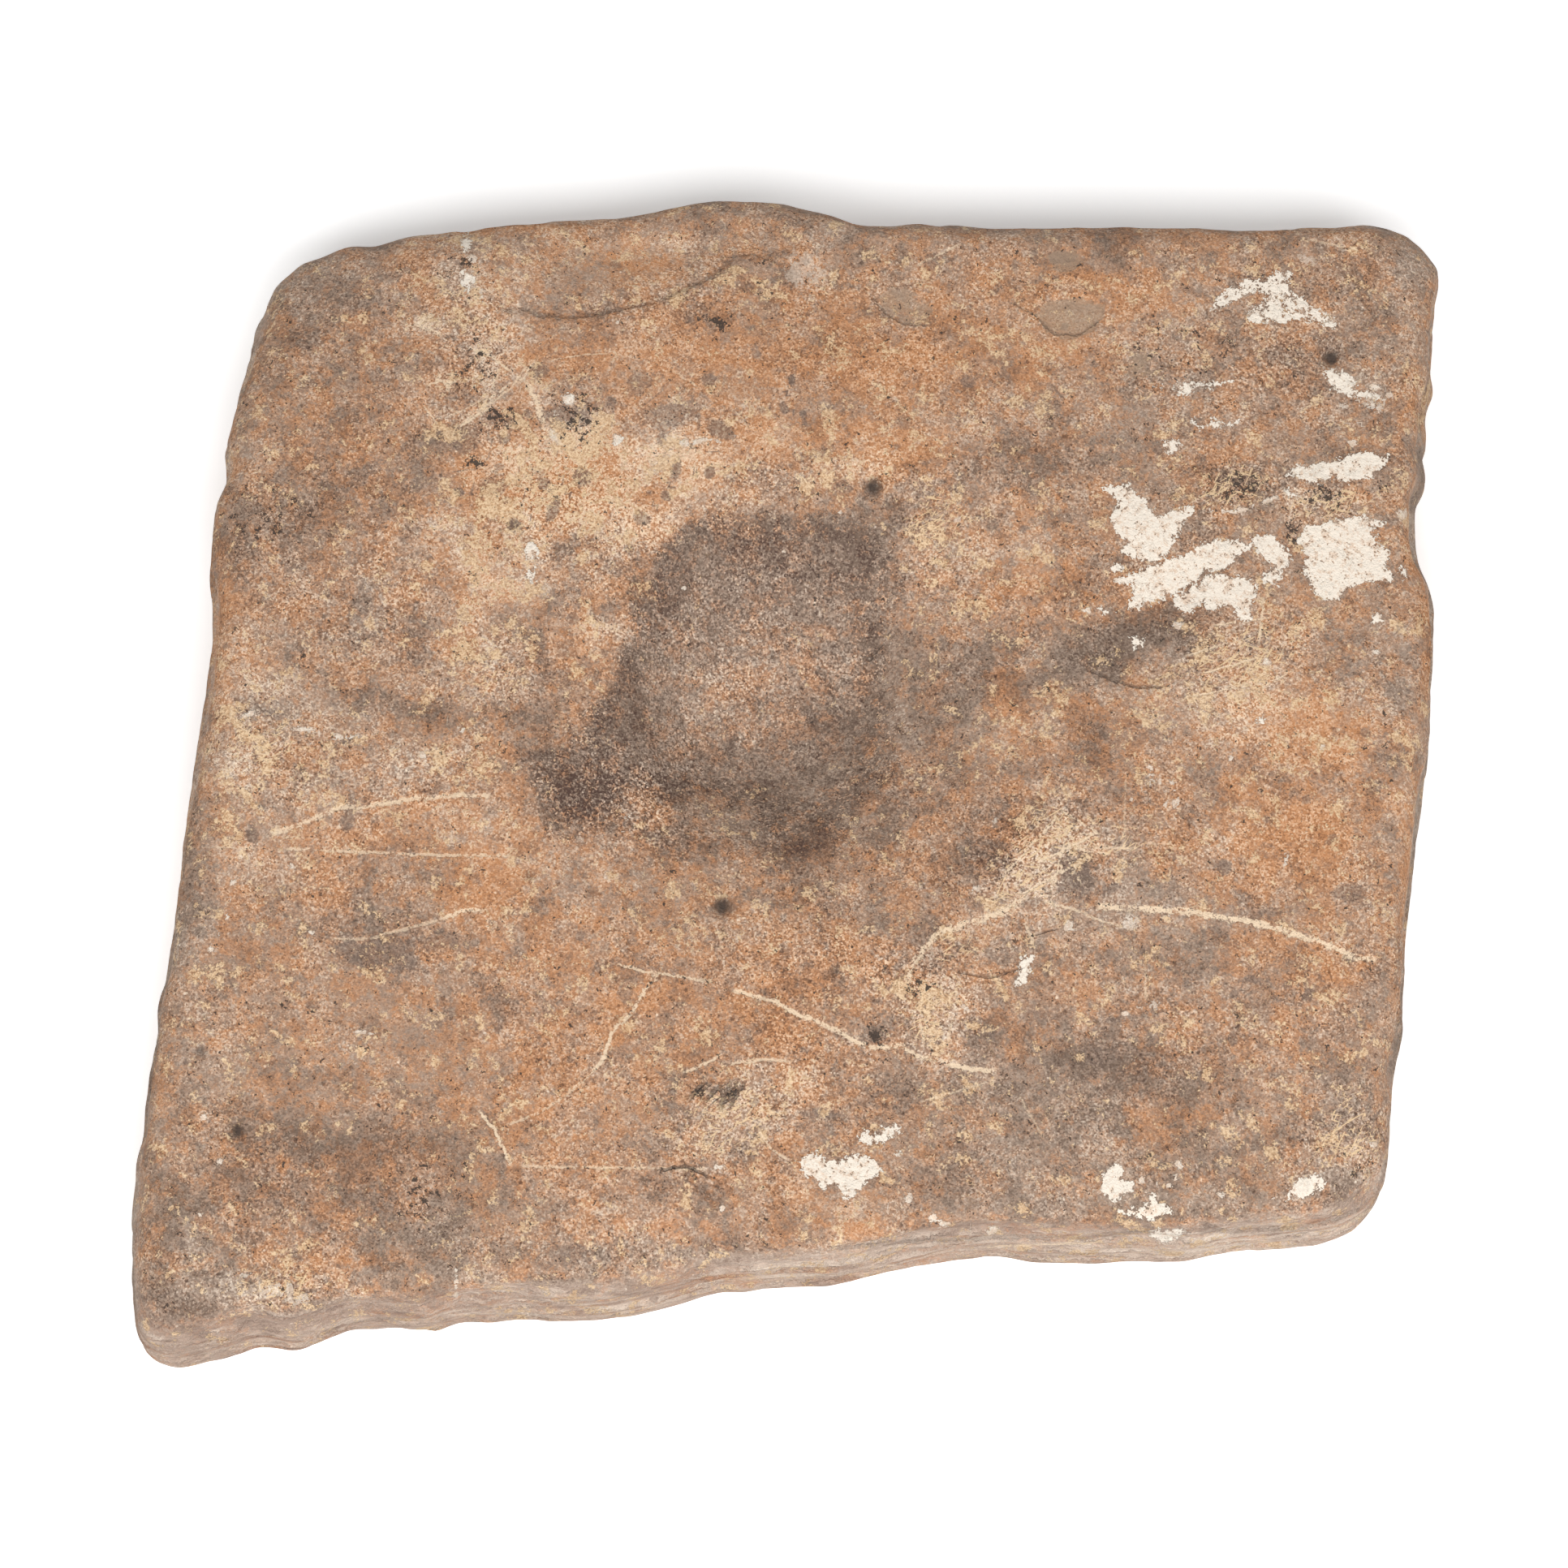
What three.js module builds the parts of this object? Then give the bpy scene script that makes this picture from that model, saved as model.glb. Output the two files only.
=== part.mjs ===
// A grinding stone: one flat block of bedded sandstone. Its edges are worn round, its sides show the
// beds, and its upper face is dished by use, with a deeper cup inside the dish.
// Millimetres, +Z up. The origin is on the surface that the stone lies on, under the middle of its
// outline. +X runs along the longer side and +Y towards the back edge.
import * as THREE from "three";

// The block
const stoneLength = 430;
const stoneBreadth = 397;
const stoneThickness = 60;

// The hollow in the upper face. Every turn here is in degrees from +X.
const dishLength = 222;
const dishBreadth = 178;
const dishDepth = 11;
const dishTurn = 34;
const dishPlaceShares = [0.005, 0.035];
const cupLength = 124;
const cupBreadth = 110;
const cupDepth = 9;
const cupTurn = 60;
const cupPlaceShares = [-0.028, 0.052];
const cupFloorShare = 0.42; // the level floor's share of the cup's reach, before the wall climbs

// The edges: a rounded strip round the upper face, and a smaller one round the base
const topArris = 12;
const topArrisDrop = 14;
const wearDropShare = 0.35; // how much deeper the upper strip gets for what it gains in width
const baseArris = 9;

// The sides
const sideBulge = 2.5; // how far half height stands out past the top and the foot of a side
const bedRelief = 2.4; // how deep the soft beds are weathered back
const bedCount = 3; // through the thickness
const bedSway = 1.3; // how far the beds wander up and down along the side, in radians
const bedSwayWaves = 5; // round the stone, as are the next waves
const bedFadeWaves = 7;

// The outline at half height, anticlockwise from the right side: x and y as shares of the stone's
// length and breadth, then the width of the upper rounded strip as a share of topArris.
const outlineShares = [
  // right side, going back
  [0.475, -0.026, 0.7], [0.483, 0.05, 0.7], [0.488, 0.133, 0.8], [0.478, 0.173, 0.9],
  [0.478, 0.21, 0.8], [0.486, 0.28, 0.7], [0.5, 0.398, 0.9], [0.5, 0.436, 1.2],
  // back edge, going left
  [0.489, 0.46, 1.3], [0.468, 0.472, 1.2], [0.441, 0.478, 1], [0.396, 0.472, 0.9],
  [0.256, 0.474, 0.9], [0.134, 0.475, 0.9], [0.086, 0.479, 0.9], [0.052, 0.477, 0.9],
  [0.019, 0.486, 0.9], [-0.026, 0.497, 1], [-0.061, 0.5, 1], [-0.096, 0.496, 1],
  [-0.141, 0.487, 1.1], [-0.237, 0.479, 1.2], [-0.339, 0.463, 1.7], [-0.385, 0.454, 2.3],
  // left side, coming forward
  [-0.412, 0.438, 2.6], [-0.428, 0.403, 2.3], [-0.438, 0.35, 1.6], [-0.455, 0.25, 1.1],
  [-0.46, 0.173, 0.9], [-0.458, 0.1, 0.9], [-0.471, -0.044, 0.9], [-0.481, -0.185, 0.9],
  [-0.497, -0.337, 1], [-0.5, -0.404, 1.2], [-0.498, -0.458, 1.4],
  // front edge, going right
  [-0.491, -0.489, 1.5], [-0.471, -0.5, 1.4], [-0.442, -0.494, 1.1], [-0.348, -0.473, 0.8],
  [-0.233, -0.46, 0.6], [-0.166, -0.46, 0.6], [-0.129, -0.456, 0.8], [-0.086, -0.446, 0.9],
  [-0.05, -0.436, 0.7], [-0.001, -0.434, 0.5], [0.042, -0.427, 0.5], [0.085, -0.416, 0.5],
  [0.137, -0.409, 0.5], [0.183, -0.413, 0.6], [0.251, -0.411, 0.6], [0.374, -0.399, 0.7],
  // right side again, going back
  [0.407, -0.394, 1], [0.431, -0.37, 1.3], [0.439, -0.323, 1.1], [0.446, -0.254, 0.8],
  [0.462, -0.12, 0.7],
];

// Broad hollows and flake scars in the upper face: x and y as shares of the stone's length and
// breadth, half length and half breadth as shares of its length, the turn, and the depth as a share
// of its thickness.
const scarShares = [
  [-0.37, 0.41, 0.16, 0.11, 40, 0.07], // the worn back left corner
  [0.41, -0.37, 0.2, 0.14, 30, 0.07], // the low front right corner
  [-0.36, -0.24, 0.22, 0.16, 70, 0.03], // a slight sag at the front left
  [-0.36, 0.12, 0.15, 0.1, 85, 0.02], // another beside the left edge
  [0.24, 0.11, 0.13, 0.07, 20, 0.04], // the hollow to the right of the dish
  [0.3, 0.33, 0.2, 0.12, 0, 0.02], // a sag towards the back right corner
  [-0.125, 0.455, 0.13, 0.055, 4, 0.1], // the long flake scar at the back edge
  [-0.1, -0.43, 0.085, 0.04, 12, 0.08], // the scallop at the front edge
  [0.1, -0.31, 0.2, 0.09, 8, 0.02], // a sag before the front edge
];

// How finely the surface is laid out
const spokes = 150;
const faceRings = 17;
const arrisRings = 5;
const sideRings = 7;
const footRings = 3;
const chordSpokes = 4;
const curveSamples = 4000;

const turn = 2 * Math.PI;
const quarterTurn = turn / 4;
const midHeight = stoneThickness / 2;
const placeOf = ([x, y]) => [x * stoneLength, y * stoneBreadth];

// 1 at the middle of a hollow, falling smoothly to 0 at its rim.
const fade = (reach) => (reach < 1 ? (1 - reach * reach) ** 2 : 0);

// How far a point lies from the middle of a turned ellipse, where 1 is on its rim.
function reachOf(x, y, [centreX, centreY], halfLength, halfBreadth, degrees) {
  const angle = THREE.MathUtils.degToRad(degrees);
  const along = (x - centreX) * Math.cos(angle) + (y - centreY) * Math.sin(angle);
  const across = (y - centreY) * Math.cos(angle) - (x - centreX) * Math.sin(angle);
  return Math.hypot(along / halfLength, across / halfBreadth);
}

// The height of the upper face before its edges are rounded.
function faceHeight(x, y) {
  const dish = reachOf(x, y, placeOf(dishPlaceShares), dishLength / 2, dishBreadth / 2, dishTurn);
  const cup = reachOf(x, y, placeOf(cupPlaceShares), cupLength / 2, cupBreadth / 2, cupTurn);
  let height = stoneThickness - dishDepth * fade(dish);
  height -= cupDepth * (1 - THREE.MathUtils.smoothstep(cup, cupFloorShare, 1));
  for (const [scarX, scarY, halfLength, halfBreadth, degrees, depth] of scarShares) {
    const halves = [halfLength * stoneLength, halfBreadth * stoneLength];
    height -= depth * stoneThickness * fade(reachOf(x, y, placeOf([scarX, scarY]), ...halves, degrees));
  }
  return height;
}

// The outline as evenly spaced points, stretched to the stone's exact length and breadth. Each point's
// z is the width of the upper rounded strip there.
function outlinePoints() {
  const knots = outlineShares.map(([x, y, wear]) => new THREE.Vector3(...placeOf([x, y]), wear * topArris));
  const curve = new THREE.CatmullRomCurve3(knots, true, "centripetal");
  curve.arcLengthDivisions = curveSamples;
  const points = curve.getSpacedPoints(spokes).slice(0, spokes);
  const box = new THREE.Box3().setFromPoints(points);
  const size = box.getSize(new THREE.Vector3());
  const middle = box.getCenter(new THREE.Vector3()).setZ(0);
  const stretch = new THREE.Vector3(stoneLength / size.x, stoneBreadth / size.y, 1);
  return points.map((point) => point.sub(middle).multiply(stretch));
}

// The direction into the stone at an outline point, square to the line through two points some way
// off on either side, so that it swings gently round the corners.
function inwardAt(points, i) {
  const before = points[(i + spokes - chordSpokes) % spokes];
  const after = points[(i + chordSpokes) % spokes];
  return new THREE.Vector3(before.y - after.y, after.x - before.x, 0).normalize();
}

// How far the side lies in from the outline, at a share of the way round and a height.
function sideInset(around, z) {
  const off = Math.abs(z - midHeight) / midHeight;
  const sway = bedSway * Math.sin(turn * bedSwayWaves * around);
  const bed = (1 + Math.sin((turn * bedCount * z) / stoneThickness + sway)) / 2;
  const patchy = (1 + Math.sin(turn * bedFadeWaves * around)) / 2;
  return off * (sideBulge * off + bedRelief * bed * patchy);
}

// One spoke of the surface, from beside the middle of the face, over the edge and down to the foot.
function spokePoints(outlinePoint, inward, around, hub) {
  const width = outlinePoint.z;
  const edge = outlinePoint.clone().setZ(0);
  const drop = topArrisDrop + wearDropShare * (width - topArris);
  const shoulder = faceHeight(edge.x, edge.y) - drop;
  const stepIn = (inset, z = 0) => edge.clone().addScaledVector(inward, inset).setZ(z);
  const points = [];

  const shoulderInset = sideInset(around, shoulder);
  const rim = stepIn(shoulderInset + width);
  for (let ring = 1; ring <= faceRings; ring++) {
    const point = hub.clone().lerp(rim, ring / faceRings);
    points.push(point.setZ(faceHeight(point.x, point.y)));
  }
  for (let ring = 1; ring <= arrisRings; ring++) {
    const angle = (quarterTurn * ring) / arrisRings;
    const point = stepIn(shoulderInset + width * (1 - Math.sin(angle)));
    points.push(point.setZ(faceHeight(point.x, point.y) - drop * (1 - Math.cos(angle))));
  }
  for (let ring = 1; ring <= sideRings; ring++) {
    const z = THREE.MathUtils.lerp(shoulder, baseArris, ring / sideRings);
    points.push(stepIn(sideInset(around, z), z));
  }
  const footInset = sideInset(around, baseArris);
  for (let ring = 1; ring <= footRings; ring++) {
    const angle = (quarterTurn * ring) / footRings;
    points.push(stepIn(footInset + baseArris * (1 - Math.cos(angle)), baseArris * (1 - Math.sin(angle))));
  }
  return points;
}

// The whole closed surface: a fan round the middle of the face, bands between the rings, and a flat
// fan that closes the base.
function stoneGeometry() {
  const outline = outlinePoints();
  const [hubX, hubY] = placeOf(cupPlaceShares);
  const hub = new THREE.Vector3(hubX, hubY, faceHeight(hubX, hubY));
  const baseHub = new THREE.Vector3(hubX, hubY, 0);
  const rows = outline.map((point, i) => spokePoints(point, inwardAt(outline, i), i / spokes, hub));
  const rings = rows[0].length;
  const points = [hub, ...rows.flat(), baseHub];
  const at = (spoke, ring) => 1 + (spoke % spokes) * rings + ring;
  const faces = [];
  for (let spoke = 0; spoke < spokes; spoke++) {
    faces.push(0, at(spoke, 0), at(spoke + 1, 0));
    for (let ring = 1; ring < rings; ring++) {
      faces.push(at(spoke, ring - 1), at(spoke, ring), at(spoke + 1, ring));
      faces.push(at(spoke, ring - 1), at(spoke + 1, ring), at(spoke + 1, ring - 1));
    }
    faces.push(points.length - 1, at(spoke + 1, rings - 1), at(spoke, rings - 1));
  }
  return new THREE.BufferGeometry().setFromPoints(points).setIndex(faces);
}

function sandstone() {
  return new THREE.MeshStandardMaterial({ color: 0xb08a6d, roughness: 0.85, metalness: 0 });
}

const grindingStone = new THREE.Mesh(stoneGeometry(), sandstone());
grindingStone.name = "grinding_stone";

const model = new THREE.Group();
model.add(grindingStone);

export default model;
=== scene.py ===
"""A grinding stone: a flat block of bedded sandstone, with a hollow worn into its upper face."""
import itertools
import math
from functools import partial

import bpy
import numpy as np
from bpy.props import FloatProperty, FloatVectorProperty, IntProperty, PointerProperty
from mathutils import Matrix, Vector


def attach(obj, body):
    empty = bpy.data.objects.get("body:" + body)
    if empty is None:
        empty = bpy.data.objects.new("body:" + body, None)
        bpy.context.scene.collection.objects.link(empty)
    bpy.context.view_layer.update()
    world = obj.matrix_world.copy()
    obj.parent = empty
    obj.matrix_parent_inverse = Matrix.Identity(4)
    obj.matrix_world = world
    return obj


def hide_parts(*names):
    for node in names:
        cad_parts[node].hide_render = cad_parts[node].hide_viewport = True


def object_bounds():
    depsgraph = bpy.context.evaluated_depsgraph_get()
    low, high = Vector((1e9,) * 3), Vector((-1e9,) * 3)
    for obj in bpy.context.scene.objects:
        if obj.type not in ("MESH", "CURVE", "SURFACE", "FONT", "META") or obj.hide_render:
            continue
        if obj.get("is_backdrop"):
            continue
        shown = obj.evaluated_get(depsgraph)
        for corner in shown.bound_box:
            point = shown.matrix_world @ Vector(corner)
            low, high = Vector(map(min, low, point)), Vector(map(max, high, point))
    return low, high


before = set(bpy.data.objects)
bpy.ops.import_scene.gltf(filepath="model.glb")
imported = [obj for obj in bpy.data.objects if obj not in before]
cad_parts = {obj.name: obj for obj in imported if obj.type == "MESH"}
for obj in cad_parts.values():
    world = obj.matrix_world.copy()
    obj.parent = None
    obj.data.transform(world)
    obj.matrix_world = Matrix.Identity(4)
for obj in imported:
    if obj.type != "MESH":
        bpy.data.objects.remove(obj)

bl_info = {
    "name": "Grinding stone",
    "version": (1, 0, 0),
    "blender": (4, 5, 0),
    "location": "View3D > Sidebar > Stone",
    "description": "Builds a worn grinding stone round its packed model, with its camera, floor and lights",
    "category": "Add Mesh",
}

MM = 0.001
CAD_LOW, CAD_HIGH = (np.array(corner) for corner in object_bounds())
CAD_SIZE = CAD_HIGH - CAD_LOW
NODE = "grinding_stone"

# The outline at half height, anticlockwise, in four sides that each start at a corner: x and y as
# shares of the stone's length and breadth, then the width of the worn upper strip as a share of the
# arris width.
OUTLINE_SHARES = {
    "right": [
        (0.431, -0.37, 1.3), (0.439, -0.323, 1.1), (0.446, -0.254, 0.8), (0.462, -0.12, 0.7),
        (0.475, -0.026, 0.7), (0.483, 0.05, 0.7), (0.488, 0.133, 0.8), (0.478, 0.173, 0.9),
        (0.478, 0.21, 0.8), (0.486, 0.28, 0.7), (0.5, 0.398, 0.9), (0.5, 0.436, 1.2),
    ],
    "back": [
        (0.489, 0.46, 1.3), (0.468, 0.472, 1.2), (0.441, 0.478, 1), (0.396, 0.472, 0.9),
        (0.256, 0.474, 0.9), (0.134, 0.475, 0.9), (0.086, 0.479, 0.9), (0.052, 0.477, 0.9),
        (0.019, 0.486, 0.9), (-0.026, 0.497, 1), (-0.061, 0.5, 1), (-0.096, 0.496, 1),
        (-0.141, 0.487, 1.1), (-0.237, 0.479, 1.2), (-0.339, 0.463, 1.7), (-0.385, 0.454, 2.3),
    ],
    "left": [
        (-0.412, 0.438, 2.6), (-0.428, 0.403, 2.3), (-0.438, 0.35, 1.6), (-0.455, 0.25, 1.1),
        (-0.46, 0.173, 0.9), (-0.458, 0.1, 0.9), (-0.471, -0.044, 0.9), (-0.481, -0.185, 0.9),
        (-0.497, -0.337, 1), (-0.5, -0.404, 1.2), (-0.498, -0.458, 1.4),
    ],
    "front": [
        (-0.491, -0.489, 1.5), (-0.471, -0.5, 1.4), (-0.442, -0.494, 1.1), (-0.348, -0.473, 0.8),
        (-0.233, -0.46, 0.6), (-0.166, -0.46, 0.6), (-0.129, -0.456, 0.8), (-0.086, -0.446, 0.9),
        (-0.05, -0.436, 0.7), (-0.001, -0.434, 0.5), (0.042, -0.427, 0.5), (0.085, -0.416, 0.5),
        (0.137, -0.409, 0.5), (0.183, -0.413, 0.6), (0.251, -0.411, 0.6), (0.374, -0.399, 0.7),
        (0.407, -0.394, 1),
    ],
}

# Swells and nicks of the outline: middle and reach in pixels, and how far out it stands, in millimetres
SWELLS = [
    (370, 1655, 75, 3.4), (519, 1637, 50, 1.6), (1751, 612, 36, 2.4), (1768, 371, 40, 1.6),
    (1760, 497, 30, 1.4), (428, 304, 45, 2.6), (500, 293, 50, 1.6), (1640, 284, 50, -1.6),
    (275, 611, 40, -1.6), (1722, 1270, 60, 1.4), (197, 1253, 40, 1.4), (825, 1608, 60, -0.8),
    (1440, 1554, 60, 1.0), (1185, 279, 50, 0.8), (1690, 1488, 30, -1.2), (1520, 285, 60, -1.4),
    (1728, 1212, 40, 1.4), (1660, 1512, 40, -1.2), (1470, 1550, 60, 1.2), (975, 1585, 60, -0.9),
    (873, 1595, 50, -1.4), (640, 1625, 40, -0.9), (510, 1637, 70, 1.3), (328, 1661, 40, -1.8),
    (173, 1414, 40, -1.0), (275, 611, 40, -0.9), (349, 349, 30, -1.0), (525, 289, 60, 0.9),
    (1122, 273, 40, 1.3), (1754, 316, 30, -1.0), (1754, 560, 30, 1.0),
]

# The hollow: centre as shares of length and breadth, half length, half breadth, turn in degrees
DISH = ((0.005, 0.035), 111 * MM, 89 * MM, 34)
CUP = ((-0.028, 0.052), 62 * MM, 55 * MM, 60)
CUP_FLOOR_SHARE = 0.42

# Broad hollows and flake scars: centre as shares of length and breadth, half length and half breadth
# as shares of the length, turn, depth as a share of the thickness.
SCAR_SHARES = [
    (-0.37, 0.41, 0.16, 0.11, 40, 0.07), (0.41, -0.37, 0.2, 0.14, 30, 0.07),
    (-0.36, -0.24, 0.22, 0.16, 70, 0.03), (-0.36, 0.12, 0.15, 0.1, 85, 0.02),
    (0.24, 0.11, 0.13, 0.07, 20, 0.04), (0.3, 0.33, 0.2, 0.12, 0, 0.02),
    (-0.125, 0.455, 0.13, 0.055, 4, 0.1), (-0.1, -0.43, 0.085, 0.04, 12, 0.08),
    (0.1, -0.31, 0.2, 0.09, 8, 0.02),
]

# The camera stands where the photograph's did. Pixels are those of its 1932 x 1932 frame.
PICTURE = 1932
CAMERA_AIM = np.array([-6.6, -5.2, 30]) * MM
CAMERA_DISTANCE = 1.6
CAMERA_ELEVATION = 72
CAMERA_LENS = 110.9
CAMERA_SENSOR = 36
PIXELS_PER_MM = 3.72

# How the marks fade: a soft patch's reach past its half lengths, the lightness that a tone mark of 1
# stands for, the value of a mark that is nowhere near, how far off a scratch's or crack's mark is sure,
# how far off it is gone and how far it runs on, in millimetres, and how far past a spot, in pixels
PATCH_SPREAD = 1.25
TONE_RANGE = 62
FAR = 9.0
LINE_SURE = 2.4
LINE_GONE = 3.6
LINE_RUN_OUT = 2
SPOT_MARGIN = 14

# The marks that the material reads
MARKS = (
    "side", "below", "seen", "tone", "warmth", "crust", "network", "busy", "fleck", "flake", "stain", "lime",
    "pit", "scratch", "scratch_presence", "cross", "cross_presence", "crack", "crack_presence",
    "white_across", "white_along", "white", "grey_across", "grey_along", "grey",
)

# White lime, as outlines in pixels
LIME_PATCHES = [
    [(1359, 599), (1376, 601), (1391, 596), (1401, 610), (1413, 618), (1414, 625), (1429, 637),
     (1444, 628), (1458, 627), (1473, 622), (1461, 640), (1457, 653), (1447, 655), (1444, 672),
     (1429, 690), (1410, 694), (1394, 684), (1378, 681), (1391, 669), (1379, 660), (1366, 641),
     (1372, 628), (1381, 617), (1369, 609)],
    [(1372, 716), (1397, 707), (1411, 700), (1438, 690), (1461, 684), (1482, 671), (1505, 665),
     (1526, 666), (1546, 673), (1523, 684), (1521, 693), (1502, 703), (1484, 701), (1476, 715),
     (1444, 732), (1429, 742), (1411, 739), (1401, 753), (1389, 750), (1397, 734), (1395, 719)],
    [(1447, 735), (1479, 719), (1488, 708), (1505, 707), (1532, 713), (1546, 716), (1549, 731),
     (1543, 742), (1542, 766), (1526, 766), (1521, 757), (1524, 750), (1511, 747), (1488, 750),
     (1483, 739), (1473, 751), (1461, 754), (1449, 747)],
    [(1543, 663), (1567, 657), (1573, 669), (1593, 684), (1586, 698), (1577, 704), (1577, 722),
     (1558, 719), (1558, 710), (1571, 695), (1558, 690), (1549, 678)],
    [(1599, 669), (1609, 647), (1631, 648), (1646, 640), (1681, 635), (1708, 644), (1687, 649),
     (1696, 666), (1716, 681), (1705, 698), (1724, 717), (1681, 717), (1658, 728), (1652, 739),
     (1631, 739), (1617, 728), (1611, 710), (1606, 700), (1612, 687)],
    [(1582, 584), (1599, 574), (1623, 571), (1648, 565), (1655, 569), (1667, 559), (1690, 559),
     (1715, 563), (1705, 574), (1690, 590), (1672, 591), (1656, 596), (1643, 587), (1617, 596),
     (1599, 588)],
    [(1574, 597), (1584, 600), (1600, 612), (1589, 612)],
    [(1431, 545), (1446, 541), (1456, 551), (1446, 560), (1434, 556)],
    [(1352, 750), (1366, 749), (1370, 756), (1358, 757)],
    [(1391, 785), (1404, 784), (1412, 794), (1400, 799)],
    [(1368, 700), (1380, 695), (1386, 699), (1374, 704)],
    [(984, 1429), (1001, 1420), (1022, 1431), (1033, 1434), (1050, 1422), (1073, 1427), (1087, 1434),
     (1087, 1443), (1068, 1454), (1063, 1463), (1054, 1470), (1047, 1480), (1040, 1475), (1036, 1463),
     (1022, 1459), (1015, 1470), (1008, 1457), (994, 1450)],
    [(1056, 1402), (1066, 1394), (1080, 1400), (1088, 1388), (1108, 1386), (1106, 1398), (1090, 1404),
     (1074, 1412)],
    [(1354, 1468), (1365, 1437), (1381, 1434), (1383, 1454), (1401, 1457), (1396, 1468), (1372, 1481)],
    [(1374, 1492), (1410, 1486), (1421, 1472), (1432, 1486), (1450, 1492), (1419, 1504)],
    [(1586, 1468), (1602, 1452), (1631, 1448), (1633, 1459), (1615, 1475), (1588, 1477)],
    [(1412, 1518), (1440, 1514), (1459, 1513), (1452, 1524), (1436, 1532), (1426, 1527)],
    [(569, 290), (578, 290), (580, 308), (571, 310)],
    [(568, 334), (582, 333), (586, 346), (577, 360), (569, 350)],
    [(646, 672), (656, 668), (664, 682), (660, 694), (648, 690)],
    [(648, 704), (660, 702), (660, 716), (652, 722)],
    [(755, 538), (764, 536), (768, 546), (758, 548)],
    [(695, 486), (706, 488), (708, 500), (697, 498)],
    [(1260, 1180), (1272, 1178), (1272, 1196), (1262, 1212), (1248, 1216), (1256, 1200)],
    [(1690, 754), (1703, 753), (1706, 766), (1694, 770)],
    [(1726, 698), (1734, 702), (1734, 714), (1726, 708)],
    [(1546, 884), (1560, 886), (1552, 896)],
]

# Lime that is worn to a lace, as outlines in pixels
LIME_LACE = [
    [(1490, 386), (1492, 374), (1504, 362), (1514, 354), (1530, 350), (1537, 342), (1558, 346),
     (1574, 333), (1594, 334), (1586, 346), (1592, 358), (1606, 366), (1620, 376), (1638, 384),
     (1650, 398), (1644, 407), (1624, 399), (1600, 396), (1576, 398), (1560, 400), (1540, 395),
     (1534, 384), (1552, 374), (1560, 364), (1546, 359), (1532, 370), (1516, 373), (1506, 380)],
    [(1627, 450), (1646, 454), (1661, 459), (1674, 468), (1670, 477), (1692, 481), (1708, 488),
     (1684, 494), (1662, 487), (1644, 484), (1634, 470)],
    [(1422, 473), (1445, 475), (1456, 469), (1482, 471), (1500, 470), (1515, 464), (1522, 470),
     (1500, 478), (1476, 481), (1461, 488), (1444, 483)],
    [(1462, 512), (1474, 514), (1484, 522), (1498, 513), (1512, 520), (1530, 516), (1522, 528),
     (1504, 530), (1488, 530), (1474, 526)],
]

# The stain in the hollow, as an outline in pixels
STAIN = [
    (813, 667), (837, 651), (857, 633), (901, 626), (953, 634), (1019, 626), (1064, 633), (1088, 637),
    (1101, 660), (1112, 690), (1108, 720), (1100, 760), (1104, 830), (1112, 900), (1100, 950), (1066, 985),
    (1046, 1020), (1034, 1040), (1008, 1060), (971, 1064), (936, 1034), (916, 1000), (879, 992), (812, 986),
    (779, 976), (768, 1008), (742, 1028), (705, 1036), (672, 1016), (655, 985), (640, 950), (652, 925),
    (694, 908), (720, 872), (746, 848), (757, 815), (774, 785), (780, 748), (798, 718), (806, 690),
]

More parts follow.
